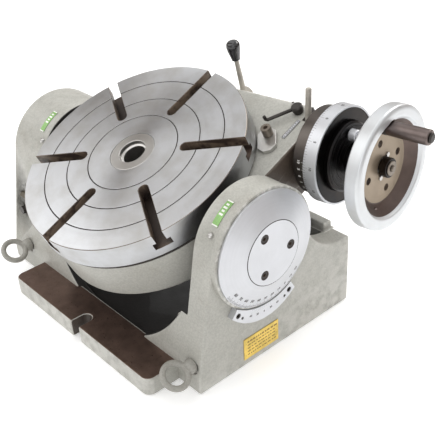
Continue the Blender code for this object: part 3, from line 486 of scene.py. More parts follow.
def on_cone(inner, inner_z, slope):
    """A flat or conical face about Z: v counts inward from the rim's side, as -radius."""
    return lambda a, v, h: (-v * math.cos(a), -v * math.sin(a), inner_z - slope * (-v - inner) + h)


def on_plane(a, v, h):
    return (a, v, h)


LIFT, SINK = 0.00006, 0.0002        # how far marks stand out of a surface and reach into it


def tick(bm, place, centre, half_width, low, high, lift=LIFT):
    """One straight mark: a thin block laid on a surface."""
    corners = []
    for h in (-SINK, lift):
        for u, v in ((-half_width, low), (half_width, low), (half_width, high), (-half_width, high)):
            corners.append(bm.verts.new(place(centre + u, v, h)))
    low_four, high_four = corners[:4], corners[4:]
    for i in range(4):
        j = (i + 1) % 4
        bm.faces.new((low_four[i], low_four[j], high_four[j], high_four[i]))
    bm.faces.new(low_four[::-1])
    bm.faces.new(high_four)


def numeral(bm, place, text, centre, middle, size, radius):
    """A number laid on a surface, its baseline along the first coordinate."""
    curve = bpy.data.curves.new(text, "FONT")
    curve.body = text
    curve.size = size
    curve.align_x = "CENTER"
    curve.align_y = "CENTER"
    curve.resolution_u = 2
    curve.extrude = 0.5
    curve.offset = size * 0.028
    obj = new_object(text, curve)
    mesh = evaluated_mesh(obj)
    for vertex in mesh.vertices:
        x, y, h = vertex.co
        vertex.co = place(centre + x / radius, middle + y, LIFT if h > 0 else -SINK)
    bm.from_mesh(mesh)
    bpy.data.objects.remove(obj)
    bpy.data.curves.remove(curve)
    bpy.data.meshes.remove(mesh)


def divisions(bm, place, zero, step, half_width, ends, number_at, size, radius, labels):
    """Marks at steps of some degrees about a zero; every third is long and has a number."""
    short, long, top = ends
    for k in range(-6, 7):
        tick(bm, place, math.radians(zero + step * k), half_width, short if k % 3 else long, top)
    for k, text in zip(range(-6, 7, 3), labels):
        numeral(bm, place, text, math.radians(zero + step * k), number_at, size, radius)


def marks(name, bm, matrix, body, slot, look):
    bmesh.ops.remove_doubles(bm, verts=bm.verts, dist=1e-7)
    return piece(painted(add(name, bm, matrix), look), body, slot)


# ---- base

BASE_LOW, BASE_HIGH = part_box("base_casting")
FRONT_Y, REAR_Y = -0.111, 0.1675        # faces of the cheeks' feet
SIDE_FACE, CHEEK_INNER = 0.2036, 0.1685        # x of the right cheek's two faces
CHEEK_R, PAD_RADIUS = 0.080, 0.081
SADDLE_R, SADDLE_Y, SHOULDER_Z = 0.078, 0.156, 0.1065        # the hollow behind each cheek
SLOPE_Z = 0.020        # where a cheek's front starts to lean back
WELL_FRONT, WELL_REAR, WELL_FLOOR = -0.095, 0.151, 0.007
OPENING_Z, REAR_WALL_Z = 0.110, 0.118
VALLEY_X, VALLEY_RADIUS = 0.010, 0.162
BUSH_BORE, WHEEL_BORE, COVER_BORE = 0.0403, 0.0645, 0.0708
SCREW_BUSH_BORE, SCREW_BORE = 0.027, 0.0195
LEDGE_Z, LEDGE_SLOT, LEDGE_SLOT_DEPTH, LEDGE_CORNER = 0.027, 0.009, 0.027, 0.012
FRONT_LEDGE, REAR_LEDGE = 0.1615, 0.100        # half widths
EYE_FACE_Y, EYE_SEAT, EYE_THREAD = -0.1065, 0.012, 0.0053
PAST = 0.3        # cutters end well outside the casting


def cheek_outline():
    """(y, z) outline of the base's side: sloped front, round top, saddle and rear shoulder."""
    saddle_z = SHOULDER_Z + SADDLE_R
    reach = math.hypot(SADDLE_Y, saddle_z - TRUNNION.z)
    bearing = math.atan2(saddle_z - TRUNNION.z, SADDLE_Y)
    half_angle = math.acos((CHEEK_R**2 - SADDLE_R**2 + reach**2) / (2 * reach) / CHEEK_R)
    top_start = math.degrees(bearing - half_angle)
    meet = arc(CHEEK_R, top_start, top_start, 1, (0, TRUNNION.z))[0]
    saddle_end = math.degrees(math.atan2(meet[1] - saddle_z, meet[0] - SADDLE_Y)) % 360
    drop = math.hypot(FRONT_Y, TRUNNION.z - SLOPE_Z)
    lean = math.atan2(TRUNNION.z - SLOPE_Z, -FRONT_Y) + math.asin(CHEEK_R / drop)
    points = [(FRONT_Y, 0), (REAR_Y, 0), (REAR_Y, SHOULDER_Z)]
    points += arc(SADDLE_R, 270, saddle_end, 16, (SADDLE_Y, saddle_z))[:-1]
    points += arc(CHEEK_R, top_start, math.degrees(lean) + 90, 56, (0, TRUNNION.z))
    points.append((FRONT_Y, SLOPE_Z))
    return points


def ledge(name, half_x, near_y, far_y):
    """A clamping ledge with round outer corners and an open slot in the middle."""
    way = math.copysign(1, far_y)
    corner, slot = LEDGE_CORNER, LEDGE_SLOT
    corner_x, corner_y = half_x - corner, far_y - way * corner
    slot_end = (0, far_y - way * (LEDGE_SLOT_DEPTH - slot))
    points = [(half_x, near_y)] + arc(corner, 0, 90 * way, 8, (corner_x, corner_y))
    points += [(slot, far_y)] + arc(slot, 0, -180 * way, 16, slot_end) + [(-slot, far_y)]
    points += arc(corner, 90 * way, 180 * way, 8, (-corner_x, corner_y)) + [(-half_x, near_y)]
    return painted(prism(name, points, 0, LEDGE_Z), LOOKS["casting_paint"])


def base_block():
    """The cheeks and the floor between them, hollowed for the cradle, with rounded edges."""
    paint = LOOKS["casting_paint"]
    base = painted(prism("base_visual", cheek_outline(), BASE_LOW.x, SIDE_FACE, axes(Y, Z, X)), paint)
    inner = CHEEK_INNER
    # The well is painted near-black as painted shade.
    well = painted(box("well", (-inner, WELL_FRONT, WELL_FLOOR), (inner, WELL_REAR, PAST)), WELL_SHADE_PAINT)
    opening = box("opening", (-inner, FRONT_Y - 0.019, OPENING_Z), (inner, WELL_FRONT + 0.005, PAST))
    behind = box("behind", (-inner, WELL_REAR - 0.011, REAR_WALL_Z), (inner, REAR_Y + 0.0125, PAST))
    valley_line = axes(X, Z, -Y, (VALLEY_X, 0, TRUNNION.z))
    valley = rod("valley", VALLEY_RADIUS, 0.090, -FRONT_Y + 0.0002, valley_line, 160)
    low, high = (-inner - 0.003, WELL_REAR + 0.0002, 0.05), (inner + 0.003, REAR_Y - 0.0002, REAR_WALL_Z)
    wall = box("wall", low, high)
    for cutter in (opening, behind, wall):
        painted(cutter, paint)
    # The valley's walls take painted shade.
    painted(valley, WELL_SHADE_PAINT)
    join(base, wall)
    cut(base, well, opening, behind, valley)
    return baked(bevelled(base, 0.0028, 3, 50))


def base_bores():
    """The trunnions' line, the tilt worm's line and the lifting eyes' seats and threads."""
    bore = turned(
        "bore",
        [(0, 0.23), (BUSH_BORE, 0.23), (BUSH_BORE, -0.185), (WHEEL_BORE, -0.189), (WHEEL_BORE, -0.240),
         (COVER_BORE, -0.240), (COVER_BORE, -0.26), (0, -0.26)],
        CHEEKS, 0, 96,
    )
    screw_bore = turned(
        "screw_bore",
        [(0, 0.13), (SCREW_BUSH_BORE, 0.13), (SCREW_BUSH_BORE, 0.09), (SCREW_BORE, 0.09),
         (SCREW_BORE, -0.062), (0, -0.062)],
        TILT_SCREW, 0, 64,
    )
    cutters = [painted(bore, SHADOW_PAINT), painted(screw_bore, OLD_BRONZE)]
    for where in eye_places():
        seat = rod("seat", EYE_SEAT, 0.0, 0.05, where)
        hole = rod("hole", EYE_THREAD, -0.016, 0.001, where, 24)
        # The thread's walls take painted shade.
        cutters += [painted(seat, LOOKS["bright_steel"]), painted(hole, RECESS_SHADE)]
    return cutters


def base_casting():
    paint = LOOKS["casting_paint"]
    base = base_block()
    front = bevelled(ledge("front", FRONT_LEDGE, FRONT_Y + 0.008, BASE_LOW.y), 0.0022, 3, 50)
    rear = bevelled(ledge("rear", REAR_LEDGE, REAR_Y - 0.008, BASE_HIGH.y), 0.0022, 3, 50)
    low, high = SIDE_FACE - 0.002, BASE_HIGH.x
    pad = turned("pad", [(0, high), (PAD_RADIUS, high), (PAD_RADIUS, low), (0, low)], CHEEKS, 0.0008)
    join(base, baked(front), baked(rear), painted(pad, paint))
    cut(base, *base_bores())
    repainted(base, paint, on_valley_edge)
    repainted(base, SHADOW_PAINT, in_clamp_slot)
    # The ledges' tops take a painted reflection in dark brown.
    repainted(base, LEDGE_REFLECTION_IRON, on_ledge)
    stands_for(base, "base_casting", sharp=32)


def on_valley_edge(centre, normal):
    """The painted front edge of the valley that the drum swings through."""
    distance = math.hypot(centre.x - VALLEY_X, centre.z - TRUNNION.z)
    return normal.y < -0.35 and distance < VALLEY_RADIUS + 0.008


def in_clamp_slot(centre, normal):
    """The rough walls of the two slots for clamping bolts, which take painted shadow."""
    front = BASE_LOW.y + 0.001 < centre.y < FRONT_Y - 0.002
    rear = REAR_Y + 0.002 < centre.y < BASE_HIGH.y - 0.001
    return (front or rear) and abs(centre.x) < LEDGE_SLOT + 0.0002 and abs(normal.z) < 0.5


def on_ledge(centre, normal):
    """The machined tops of the two ledges, bare iron in a dark brown that is a painted reflection."""
    return abs(centre.z - LEDGE_Z) < 0.0003 and not FRONT_Y + 0.004 < centre.y < REAR_Y - 0.002


def eye_places():
    """Where the lifting eyes screw in: local Z points out of the casting."""
    made = []
    for number in (1, 2):
        low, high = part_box(f"eyebolt_{number}")
        made.append(axes(X, Z, -Y, ((low.x + high.x) / 2, EYE_FACE_Y, (low.z + high.z) / 2)))
    return made


def eyebolts():
    """Forged eyes: the ring flows into its collar."""
    profile = [(0, 0.0135), (0.0070, 0.0120), (0.0100, 0.0070), (0.0100, 0.0003), (0.0050, 0.0003),
               (0.0050, -0.014), (0, -0.014)]
    turn = Matrix.Rotation(math.radians(-35), 4, "Z") @ Matrix.Rotation(math.pi / 2, 4, "X")
    for number, where in enumerate(eye_places(), 1):
        name = f"eyebolt_{number}"
        collar = turned(name + "_visual", profile, where, 0.0008, 48)
        bpy.ops.mesh.primitive_torus_add(
            major_radius=0.0165, minor_radius=0.0041, major_segments=64, minor_segments=24
        )
        ring = bpy.context.object
        ring.matrix_world = where @ Matrix.Translation((0, 0, 0.028)) @ turn
        join(collar, ring)
        remesh = collar.modifiers.new("forging", "REMESH")
        remesh.mode = "VOXEL"
        remesh.voxel_size = 0.0006
        smooth = collar.modifiers.new("flow", "SMOOTH")
        smooth.iterations = 10
        painted(baked(collar), LOOKS["eye_steel"])
        stands_for(collar, name, sharp=80)


def vernier_marks():
    """Divisions and numerals along the crescent plate's inner edge."""
    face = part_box("vernier_plate")[1].x
    place = on_cone(0, face, 0)
    bm = bmesh.new()
    ends, numbers = (-0.0855, -0.0870, -0.0822), 0.0905
    labels = ("60", "30", "0", "30", "60")
    divisions(bm, place, -94, 2.5, 0.00018, ends, -numbers, 0.0042, numbers, labels)
    marks("vernier_marks", bm, CHEEKS, "base", "black_steel", MARK_INK)


def tags():
    """Enamel tags: a pale border and pale blocks on green."""
    for side in ("right", "left"):
        name = side + "_tag"
        low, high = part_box(name)
        stands_for(softened(name, 0.0002, CHEEKS), name)
        place = on_cylinder(CHEEK_R + 0.0009)
        bm = bmesh.new()
        first, last = math.radians(114.5), math.radians(140)
        centre, half = (first + last) / 2, (last - first) / 2
        left, right, raised = low.x + 0.0003, high.x - 0.0003, 0.00015
        for edge in (-1, 1):
            tick(bm, place, centre + edge * half * 0.94, half * 0.045, left, right, raised)
        tick(bm, place, centre, half * 0.96, left, left + 0.0011, raised)
        tick(bm, place, centre, half * 0.96, right - 0.0011, right, raised)
        middle = (low.x + high.x) / 2
        for k, share in enumerate((-0.66, -0.40, -0.14, 0.12)):
            wide = 0.0030 if k % 2 else 0.0022
            tick(bm, place, centre + half * share, half * 0.07, middle - wide, middle + wide, raised)
        marks(name + "_blocks", bm, CHEEKS, "base", "tag_enamel", MARK_WHITE)


def data_plate():
    """Brass plate: a raised border, two rivets and generic rulings in rows."""
    low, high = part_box("data_plate")
    face = axes(Y, Z, X, (high.x, (low.y + high.y) / 2, (low.z + high.z) / 2))
    half_y, half_z = (high.y - low.y) / 2, (high.z - low.z) / 2
    stands_for(softened("data_plate", 0.0003, face), "data_plate")
    bm = bmesh.new()
    pick = random.Random(7)
    for row in range(5):
        v = half_z * (0.62 - 0.31 * row)
        tall = 0.0024 if row == 0 else 0.0014
        u = -half_y * 0.80
        while u < half_y * 0.74:
            width = pick.uniform(0.0009, 0.0030)
            tick(bm, on_plane, u + width, width, v - tall / 2, v + tall / 2, 0.00008)
            u += 2 * width + pick.uniform(0.0009, 0.0024)
    ink = plain_metal("plate_ink", (0.26, 0.16, 0.05), 0.5, 0.4)
    marks("plate_rulings", bm, face, "base", "plate_brass", ink)
    bm = bmesh.new()
    line, raised = 0.0004, 0.00012
    for way in (-1, 1):
        v = way * half_z * 0.93
        tick(bm, on_plane, 0, half_y * 0.97, v - line, v + line, raised)
        tick(bm, on_plane, way * half_y * 0.96, line, -half_z * 0.93, half_z * 0.93, raised)
    marks("plate_border", bm, face, "base", "plate_brass", LOOKS["plate_brass"])
    profile = [(0, 0.0006), (0.0009, 0.0005), (0.0014, 0.0001), (0.0014, -0.0003), (0, -0.0003)]
    for side in (-1, 1):
        where = face @ Matrix.Translation((side * half_y * 0.88, 0, 0))
        piece(turned("plate_rivet", profile, where, 0.0002, 24), "base", "plate_brass")


# ---- cradle

HOUSING_TOP, HOUSING_LOW = 0.0395, -0.038        # heights in the cradle's frame
HOUSING_LEFT, HOUSING_FRONT, HOUSING_REAR = -0.078, -0.050, 0.038        # along and across the worm
HOUSING_SIDE = 0.1675
DRUM_TOP, DRUM_RADIUS, DRUM_SEAM = 0.0405, 0.1572, 0.0378
CAVITY_RADIUS, CAVITY_FLOOR, SPINDLE_BORE = 0.124, -0.014, 0.0363
SLEEVE_BORE, COVER_SEAT, SNOUT_RADIUS = 0.030, 0.034, 0.033        # about the worm's axis
SOCKET_RADIUS, BOSS_RADIUS, BOSS_START = 0.0348, 0.050, 0.118        # about the trunnions' axis
ROD_SLOT = 0.0048        # half width
REST_TILT = 25        # degrees


def worm_point(s, w=0.0, n=0.0):
    """A point in the cradle's frame, s along the worm's axis, w away from the table's axis and n up."""
    return TILT.inverted() @ (WORM.translation + ALONG * s - OUT * w + UP * n)


def housing_outline():
    """The worm housing seen from above: its right end is square to the trunnions, its left to the worm."""
    rear = worm_point(0, HOUSING_REAR)
    lean = ALONG.dot(TILT.col[1].xyz) / ALONG.x
    left_rear, left_front = worm_point(HOUSING_LEFT, HOUSING_REAR), worm_point(HOUSING_LEFT, HOUSING_FRONT)
    right_rear = (HOUSING_SIDE, rear.y + (HOUSING_SIDE - rear.x) * lean)
    return [tuple(left_front.xy), (0.110, 0.020), (HOUSING_SIDE, 0.030), right_rear, tuple(left_rear.xy)]


def cradle_hollows():
    """The drum's cavity, the worm's bore, the slot of the engagement rod and the trunnions' sockets."""
    cavity = turned(
        "cavity",
        [(0, 0.06), (CAVITY_RADIUS, 0.06), (CAVITY_RADIUS, CAVITY_FLOOR), (SPINDLE_BORE, CAVITY_FLOOR),
         (SPINDLE_BORE, -0.06), (0, -0.06)],
        TILT, 0, 120,
    )
    seat = HOUSING_LEFT - 0.0001
    bore = turned(
        "bore",
        [(0, 0.22), (SLEEVE_BORE, 0.22), (SLEEVE_BORE, seat), (COVER_SEAT, seat), (COVER_SEAT, -0.14),
         (0, -0.14)],
        WORM, 0, 72,
    )
    sector = arc(0.060, -18, -76, 12) + arc(0.020, -76, -18, 8)
    slot = prism("slot", sector, ROD_AT - ROD_SLOT, ROD_AT + ROD_SLOT, WORM)
    spans = [sorted((way * 0.123, way * 0.180)) for way in (-1, 1)]
    sockets = [rod("socket", SOCKET_RADIUS, *span, TRUNNIONS, 64) for span in spans]
    # The hollows' walls take painted shadow.
    return [painted(cutter, SHADOW_PAINT) for cutter in (cavity, bore, slot, *sockets)]


def cradle_body():
    paint = LOOKS["casting_paint"]
    drum = turned(
        "cradle_visual",
        [(0, DRUM_TOP), (DRUM_RADIUS, DRUM_TOP), (DRUM_RADIUS, DRUM_SEAM), (DRUM_RADIUS, -0.020),
         (0.1515, -0.027), (0.128, -0.028), (0.121, -0.034), (0.056, -0.034), (0.052, -0.050), (0, -0.050)],
        TILT, 0.0022, 180,
    )
    housing = painted(prism("housing", housing_outline(), HOUSING_LOW, HOUSING_TOP, TILT), paint)
    baked(bevelled(housing, 0.0035, 4))
    snout = painted(rod("snout", SNOUT_RADIUS, 0.165, 0.190, WORM, 96), paint)
    bosses = []
    for low, high in ((BOSS_START, HOUSING_SIDE), (-HOUSING_SIDE, -BOSS_START)):
        profile = [(0, high), (BOSS_RADIUS, high), (BOSS_RADIUS, low), (0, low)]
        boss = painted(turned("boss", profile, TRUNNIONS, 0.002, 96), paint)
        above = box("above", (-0.2, -0.1, HOUSING_TOP - 0.0015), (0.2, 0.1, 0.1), TILT)
        bosses.append(cut(boss, painted(above, paint)))
    painted(drum, paint)
    join(drum, housing, snout, *bosses)
    cut(drum, *cradle_hollows())
    # The cradle's underside is painted near-black as painted shade.
    repainted(drum, WELL_SHADE_PAINT, lambda c, n: c.z < -0.0245, TILT)
    # The drum's top band, under the table's rim, takes painted shade.
    repainted(drum, GROOVE_SHADE, lambda c, n: c.z > DRUM_SEAM and 0.14 < c.xy.length < 0.1575, TILT)
    # The housing's right side takes painted shade.
    repainted(drum, SIDE_SHADE_PAINT, lambda c, n: c.x > HOUSING_SIDE - 0.004 and n.x > 0.5, TILT)
    stands_for(drum, "cradle_body", sharp=30)


DISC_FACE, DISC_RIM, DISC_BACK = 0.2250, 0.2136, 0.2109        # along the trunnions' axis
DISC_RADIUS, DISC_MIDDLE = 0.0775, 0.0435
DISC_SCREW_SEAT = 0.2165


def tilt_disc():
    """The graduated disc: a flat middle, a long cone and a rim, with three sunk screws."""
    face, groove, cone_top = DISC_FACE, DISC_FACE - 0.0009, DISC_FACE - 0.0004
    disc = turned(
        "disc_visual",
        [(0, face), (0.0425, face), (0.0430, groove), (DISC_MIDDLE, cone_top), (DISC_RADIUS, DISC_RIM),
         (DISC_RADIUS, DISC_BACK), (0, DISC_BACK)],
        TRUNNIONS, 0.0001, 200,
    )
    painted(disc, LOOKS["satin_steel"])
    profile = [(0, 0.24), (0.0066, 0.24), (0.0066, face + 0.0002), (0.0056, face - 0.0008),
               (0.0056, DISC_SCREW_SEAT), (0, DISC_SCREW_SEAT)]
    for number in range(1, 4):
        low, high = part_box(f"disc_screw_{number}")
        middle = TRUNNIONS.inverted() @ ((low + high) / 2)
        where = TRUNNIONS @ Matrix.Translation((middle.x, middle.y, 0))
        # The screw holes' walls take painted shade.
        cut(disc, painted(turned("hole", profile, where, 0, 48), RECESS_SHADE))
        head_at = where @ Matrix.Translation((0, 0, DISC_SCREW_SEAT + 0.0003))
        socket_screw(f"disc_screw_{number}", head_at, 0.0052, 0.0075, 0.0027)
    # The small groove round the flat middle is darkened with the ink as painted shade.
    repainted(disc, MARK_INK, lambda c, n: 0.0425 < c.xy.length < 0.0435 and groove < c.z < face, TRUNNIONS)
    stands_for(disc, "tilt_disc", sharp=25)
    slope = (cone_top - DISC_RIM) / (DISC_RADIUS - DISC_MIDDLE)
    place = on_cone(DISC_MIDDLE, cone_top, slope)
    bm = bmesh.new()
    pointer = math.radians(-91.6 - REST_TILT)
    outer, numbers = -DISC_RADIUS + 0.0005, 0.0672
    for degree in range(-28, 86):
        angle = pointer - math.radians(degree - REST_TILT)
        length = 0.0056 if degree % 10 == 0 else 0.0042 if degree % 5 == 0 else 0.0028
        tick(bm, place, angle, 0.00016 / DISC_RADIUS, outer, outer + length)
        if degree % 10 == 0:
            numeral(bm, place, str(abs(degree)), angle, -numbers, 0.0058, numbers)
    marks("disc_marks", bm, TRUNNIONS, "cradle", "satin_steel", MARK_INK)


def socket_screw(name, where, radius, height, socket_radius, look=None):
    """A cap head with a hexagon socket."""
    head = turned(name + "_visual", [(0, height), (radius, height), (radius, 0), (0, 0)], where, 0.0005, 48)
    painted(head, look or LOOKS[SLOT_OF[name]])
    # The hexagon socket takes painted shade.
    cut(head, painted(rod("socket", socket_radius, height * 0.45, height * 1.5, where, 6), RECESS_SHADE))
    stands_for(head, name)


def on_housing(name, height):
    """A place this high above the housing's top, over the middle of a CAD node."""
    low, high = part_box(name)
    middle = TILT.inverted() @ ((low + high) / 2)
    return TILT @ Matrix.Translation((middle.x, middle.y, HOUSING_TOP + height))


def index_block():
    stands_for(softened("index_block", 0.0006, TILT, 3), "index_block", look=LOOKS["bright_steel"])
    bolt, screw = "index_block_bolt", "housing_screw"
    socket_screw(bolt, on_housing(bolt, 0.0058), 0.0068, 0.0125, 0.0034, OILY_STEEL)
    socket_screw(screw, on_housing(screw, 0.0003), 0.0030, 0.0045, 0.0016)


def label_plate():
    """A narrow label with a raised border and short rulings."""
    place_at = on_housing("level_plate", 0.0015) @ axes(Y, -X, Z)
    stands_for(softened("level_plate", 0.0002, place_at), "level_plate")
    bm = bmesh.new()
    half, line, raised = 0.0019, 0.0003, 0.0001
    for side in (-1, 1):
        tick(bm, on_plane, 0, 0.0158, side * half - line, side * half + line, raised)
        tick(bm, on_plane, side * 0.0155, line, -half, half, raised)
        tick(bm, on_plane, side * 0.0135, 0.0006, -0.0006, 0.0006, raised)
    for k in range(7):
        tick(bm, on_plane, -0.0095 + 0.0032 * k, 0.0010, -0.0005, 0.0005, raised)
    marks("label_marks", bm, place_at, "cradle", "satin_steel", MARK_INK)


def collar_marks():
    """White divisions and numerals on the dark reading collar."""
    place = on_cylinder(COLLAR_RADIUS)
    bm = bmesh.new()
    thin, ends = 0.00016 / COLLAR_RADIUS, (0.2048, 0.2032, 0.2088)
    labels = ("10", "5", "0", "5", "10")
    divisions(bm, place, 78, 3.4, thin, ends, 0.1990, 0.0052, COLLAR_RADIUS, labels)
    marks("collar_marks", bm, WORM, "cradle", "collar_steel", MARK_WHITE)


# ---- table

TABLE_TOP, TABLE_LOW, TABLE_RADIUS = 0.080, 0.042, 0.1596        # heights in the cradle's frame
GROOVES, GROOVE_HALF = (0.0647, 0.0960, 0.1294), 0.0008
SLOT_START, SLOT_HALF, SLOT_WIDE_HALF = 0.078, 0.007, 0.012
SLOT_FLOOR, SLOT_LIP = 0.055, 0.065
NECK_RADIUS, NECK_LOW, TABLE_BORE = 0.060, 0.0183, 0.0303


def slot_outline(half_width):
    """A channel open at the rim, with a round inner end."""
    past = TABLE_RADIUS + 0.0104
    return arc(half_width, 90, 270, 16, (SLOT_START, 0)) + [(past, -half_width), (past, half_width)]


def rotary_table():
    """The face with its turned circles and six T-slots, and the neck that carries the worm wheel."""
    top, bottom, radius = TABLE_TOP, TABLE_LOW, TABLE_RADIUS
    recess = (TABLE_BORE + 0.002, 0.068)
    profile = [(recess[0], top)]
    for groove in GROOVES:
        profile += [(groove - GROOVE_HALF, top), (groove, top - 0.0012), (groove + GROOVE_HALF, top)]
    profile += [(radius - 0.0008, top), (radius, top - 0.0008), (radius, bottom + 0.0018),
                (radius - 0.0022, bottom), (NECK_RADIUS, bottom), (NECK_RADIUS, NECK_LOW),
                (TABLE_BORE, NECK_LOW), (TABLE_BORE, recess[1]), recess]
    table = painted(turned("table_visual", profile, TILT, 0.0003, 288), LOOKS["table_steel"])
    layers = [(SLOT_WIDE_HALF, SLOT_FLOOR), (SLOT_WIDE_HALF, SLOT_LIP), (SLOT_HALF, SLOT_LIP),
              (SLOT_HALF, top - 0.0006), (SLOT_HALF + 0.0012, top + 0.0006)]
    cutters = []
    for number in range(6):
        turn = Matrix.Rotation(math.radians(30 + 60 * number), 4, "Z")
        outline = [(slot_outline(half), z) for half, z in layers]
        # The T-slots' walls take painted shade.
        cutters.append(painted(stack(f"slot_{number}", outline, TILT @ turn), RECESS_SHADE))
    cut(table, *cutters)
    # The turned circles and the lower edge take painted shade.
    repainted(table, GROOVE_SHADE, in_groove, TILT)
    repainted(table, OILY_STEEL, on_rim_chamfer, TILT)
    stands_for(table, "rotary_table", sharp=25)


def on_rim_chamfer(centre, normal):
    return centre.xy.length > TABLE_RADIUS - 0.001 and TABLE_TOP - 0.0009 < centre.z < TABLE_TOP - 0.0001


def in_groove(centre, normal):
    """The walls of the turned circles on the table's face, and its chamfered lower edge, which take painted shade.
    """
    near = any(abs(centre.xy.length - groove) < GROOVE_HALF + 0.0001 for groove in GROOVES)
    circle = near and TABLE_TOP - 0.0020 < centre.z < TABLE_TOP - 0.0001
    return circle or (centre.z < TABLE_LOW + 0.0017 and centre.xy.length > 0.150)


def spindle():
    """The sleeve in the table's centre, with its taper bore."""
    top, shoulder, bottom = TABLE_TOP - 0.0002, 0.0683, -0.0610
    profile = [(0.0190, top), (0.0320, top), (0.0320, shoulder), (0.0300, shoulder), (0.0300, bottom),
               (0.0126, bottom), (0.0156, 0.0730), (0.0185, 0.0740), (0.0188, 0.0775)]
    stands_for(turned("spindle_visual", profile, TILT, 0.0007, 144), "spindle_sleeve")


# ---- worm, dial, handwheel

COLLAR_RADIUS, DIAL_RADIUS = 0.058, 0.0644


def dial_marks():
    """The dial's divisions, a long one every fifth, and a number every tenth."""
    place = on_cylinder(DIAL_RADIUS)
    bm = bmesh.new()
    count = 120
    for k in range(count):
        angle = TAU * k / count
        length = 0.0062 if k % 10 == 0 else 0.0048 if k % 5 == 0 else 0.0032
        tick(bm, place, angle, 0.00014 / DIAL_RADIUS, 0.2106, 0.2106 + length)
        if k % 10 == 0:
            numeral(bm, place, str(k // 2), angle, 0.2212, 0.0052, DIAL_RADIUS)
    marks("dial_marks", bm, WORM, "dial", "satin_steel", MARK_INK)


def dial_hub():
    """The black hub of the dial, with fine turned steps on its face."""
    rim, edge, back, bore = 0.2360, 0.0457, 0.2103, 0.0128
    profile = [(bore, rim)]
    for step in (0.0235, 0.0305, 0.0400):
        profile += [(step - 0.0005, rim), (step, rim - 0.0005), (step + 0.0005, rim)]
    profile += [(0.0435, rim), (edge, rim - 0.0020), (edge, back), (bore, back)]
    stands_for(turned("dial_hub_visual", profile, WORM, 0.0002, 180), "dial_hub")


WEB_FACE, WEB_BACK, WEB_RADIUS = 0.284, 0.2760, 0.0475
DISH_RADIUS, RIM_RADIUS = 0.0612, 0.0787
RIM_LOW, RIM_TOP = 0.2785, 0.2997
HUB_BORE, HUB_RADIUS, HUB_LOW = 0.0113, 0.0220, 0.2400
HOLE_CIRCLE, HOLE_RADIUS = 0.0328, 0.0048


def handwheel():
    """The dished wheel: a satin rim, a wall in dark brown and a drilled web in tan, both painted reflections, and
    the handle's pocket.
    """
    profile = [(HUB_BORE, WEB_FACE), (WEB_RADIUS, WEB_FACE), (DISH_RADIUS, 0.2955), (0.0640, 0.2992),
               (0.0665, RIM_TOP), (0.0742, RIM_TOP), (RIM_RADIUS, 0.2975), (RIM_RADIUS, 0.2808),
               (0.0742, RIM_LOW), (0.0662, RIM_LOW), (0.0510, WEB_BACK), (HUB_RADIUS, WEB_BACK),
               (HUB_RADIUS, HUB_LOW), (HUB_BORE, HUB_LOW)]
    wheel = painted(turned("handwheel_visual", profile, WORM, 0.0022, 200), LOOKS["handwheel_metal"])
    spot_pad = round_at(0.0552, -129, rod, "spot_pad", 0.0040, 0.2800, 0.2892)
    # The spot pad takes the dish's painted reflection.
    join(wheel, painted(spot_pad, DISH_REFLECTION_BROWN))
    offset = (WORM.inverted() @ GRIP.translation).xy
    where = WORM @ Matrix.Translation((offset.x, offset.y, 0))
    cutters = [rod("pocket", 0.0110, 0.2870, 0.31, where), rod("stem", 0.0053, 0.25, 0.29, where, 32)]
    for number in range(4):
        hole = round_at(HOLE_CIRCLE, 12 + 90 * number, rod, "hole", HOLE_RADIUS, 0.25, WEB_FACE + 0.0005)
        cutters.append(hole)
    # The pocket, the stem's hole and the web's holes take painted shade.
    cut(wheel, *[painted(cutter, RECESS_SHADE) for cutter in cutters])
    # The web takes a painted reflection in tan.
    repainted(wheel, WEB_REFLECTION_TAN, on_web, WORM)
    repainted(wheel, LOOKS["black_turned"], on_hub, WORM)
    # The dish wall takes a painted reflection in dark brown.
    repainted(wheel, DISH_REFLECTION_BROWN, on_dish_wall, WORM)
    stands_for(wheel, "handwheel", sharp=30)
    for angle in (58, -128):
        pin = round_at(0.0150, angle, rod, "hub_pin", 0.0032, WEB_FACE - 0.002, WEB_FACE + 0.0018)
        piece(bevelled(pin, 0.0004), "worm", "bright_steel")


def on_web(centre, normal):
    return centre.xy.length < WEB_RADIUS + 0.0005 and centre.z > WEB_FACE - 0.0002


def on_hub(centre, normal):
    return centre.xy.length < HUB_RADIUS + 0.0020 and centre.z < WEB_BACK + 0.0002


def on_dish_wall(centre, normal):
    return WEB_RADIUS - 0.0005 < centre.xy.length < DISH_RADIUS + 0.0010 and WEB_FACE < centre.z < 0.2970


def round_at(radius, angle, make, name, *sizes):
    """Makes a round solid along the worm's axis, at this radius and angle in degrees."""
    turn = math.radians(angle)
    where = WORM @ Matrix.Translation((radius * math.cos(turn), -radius * math.sin(turn), 0))
    return make(name, *sizes, where)


# ---- everything turned and everything small

TURNED = {
    "left_end_cover": (CHEEKS, 0.0008),
    "tilt_worm_front_bush": (TILT_SCREW, 0.0005),
    "bottom_cover": (TILT, 0.0010),
    "worm_end_cover": (WORM, 0.0010),
    "reading_collar": (WORM, 0.0006),
    "dial_ring": (WORM, 0.0005),
    "hub_boss": (WORM, 0.0007),
    "hub_washer": (WORM, 0.0004),
    "hub_screw": (WORM, 0.0004),
    "handle_spindle": (GRIP, 0.0006),
    "handle_grip": (GRIP, 0.0008),
    "dial_lock_knob": (LOCK_KNOB, 0.0005),
    "engagement_rod": (ROD, 0.0005),
}


OTHER_LOOKS = {
    "tilt_worm_front_bush": OLD_BRONZE,
    "engagement_rod": LEVER_GREY,
    "hub_washer": OILY_STEEL,
    "hub_screw": OILY_STEEL,
    "dial_lock_knob": LOOKS["satin_steel"],
}


def on_dial_face(centre, normal):
    """The blackened front face of the dial ring, inside its bright lip."""
    return centre.z > 0.2270 and centre.xy.length < 0.0617


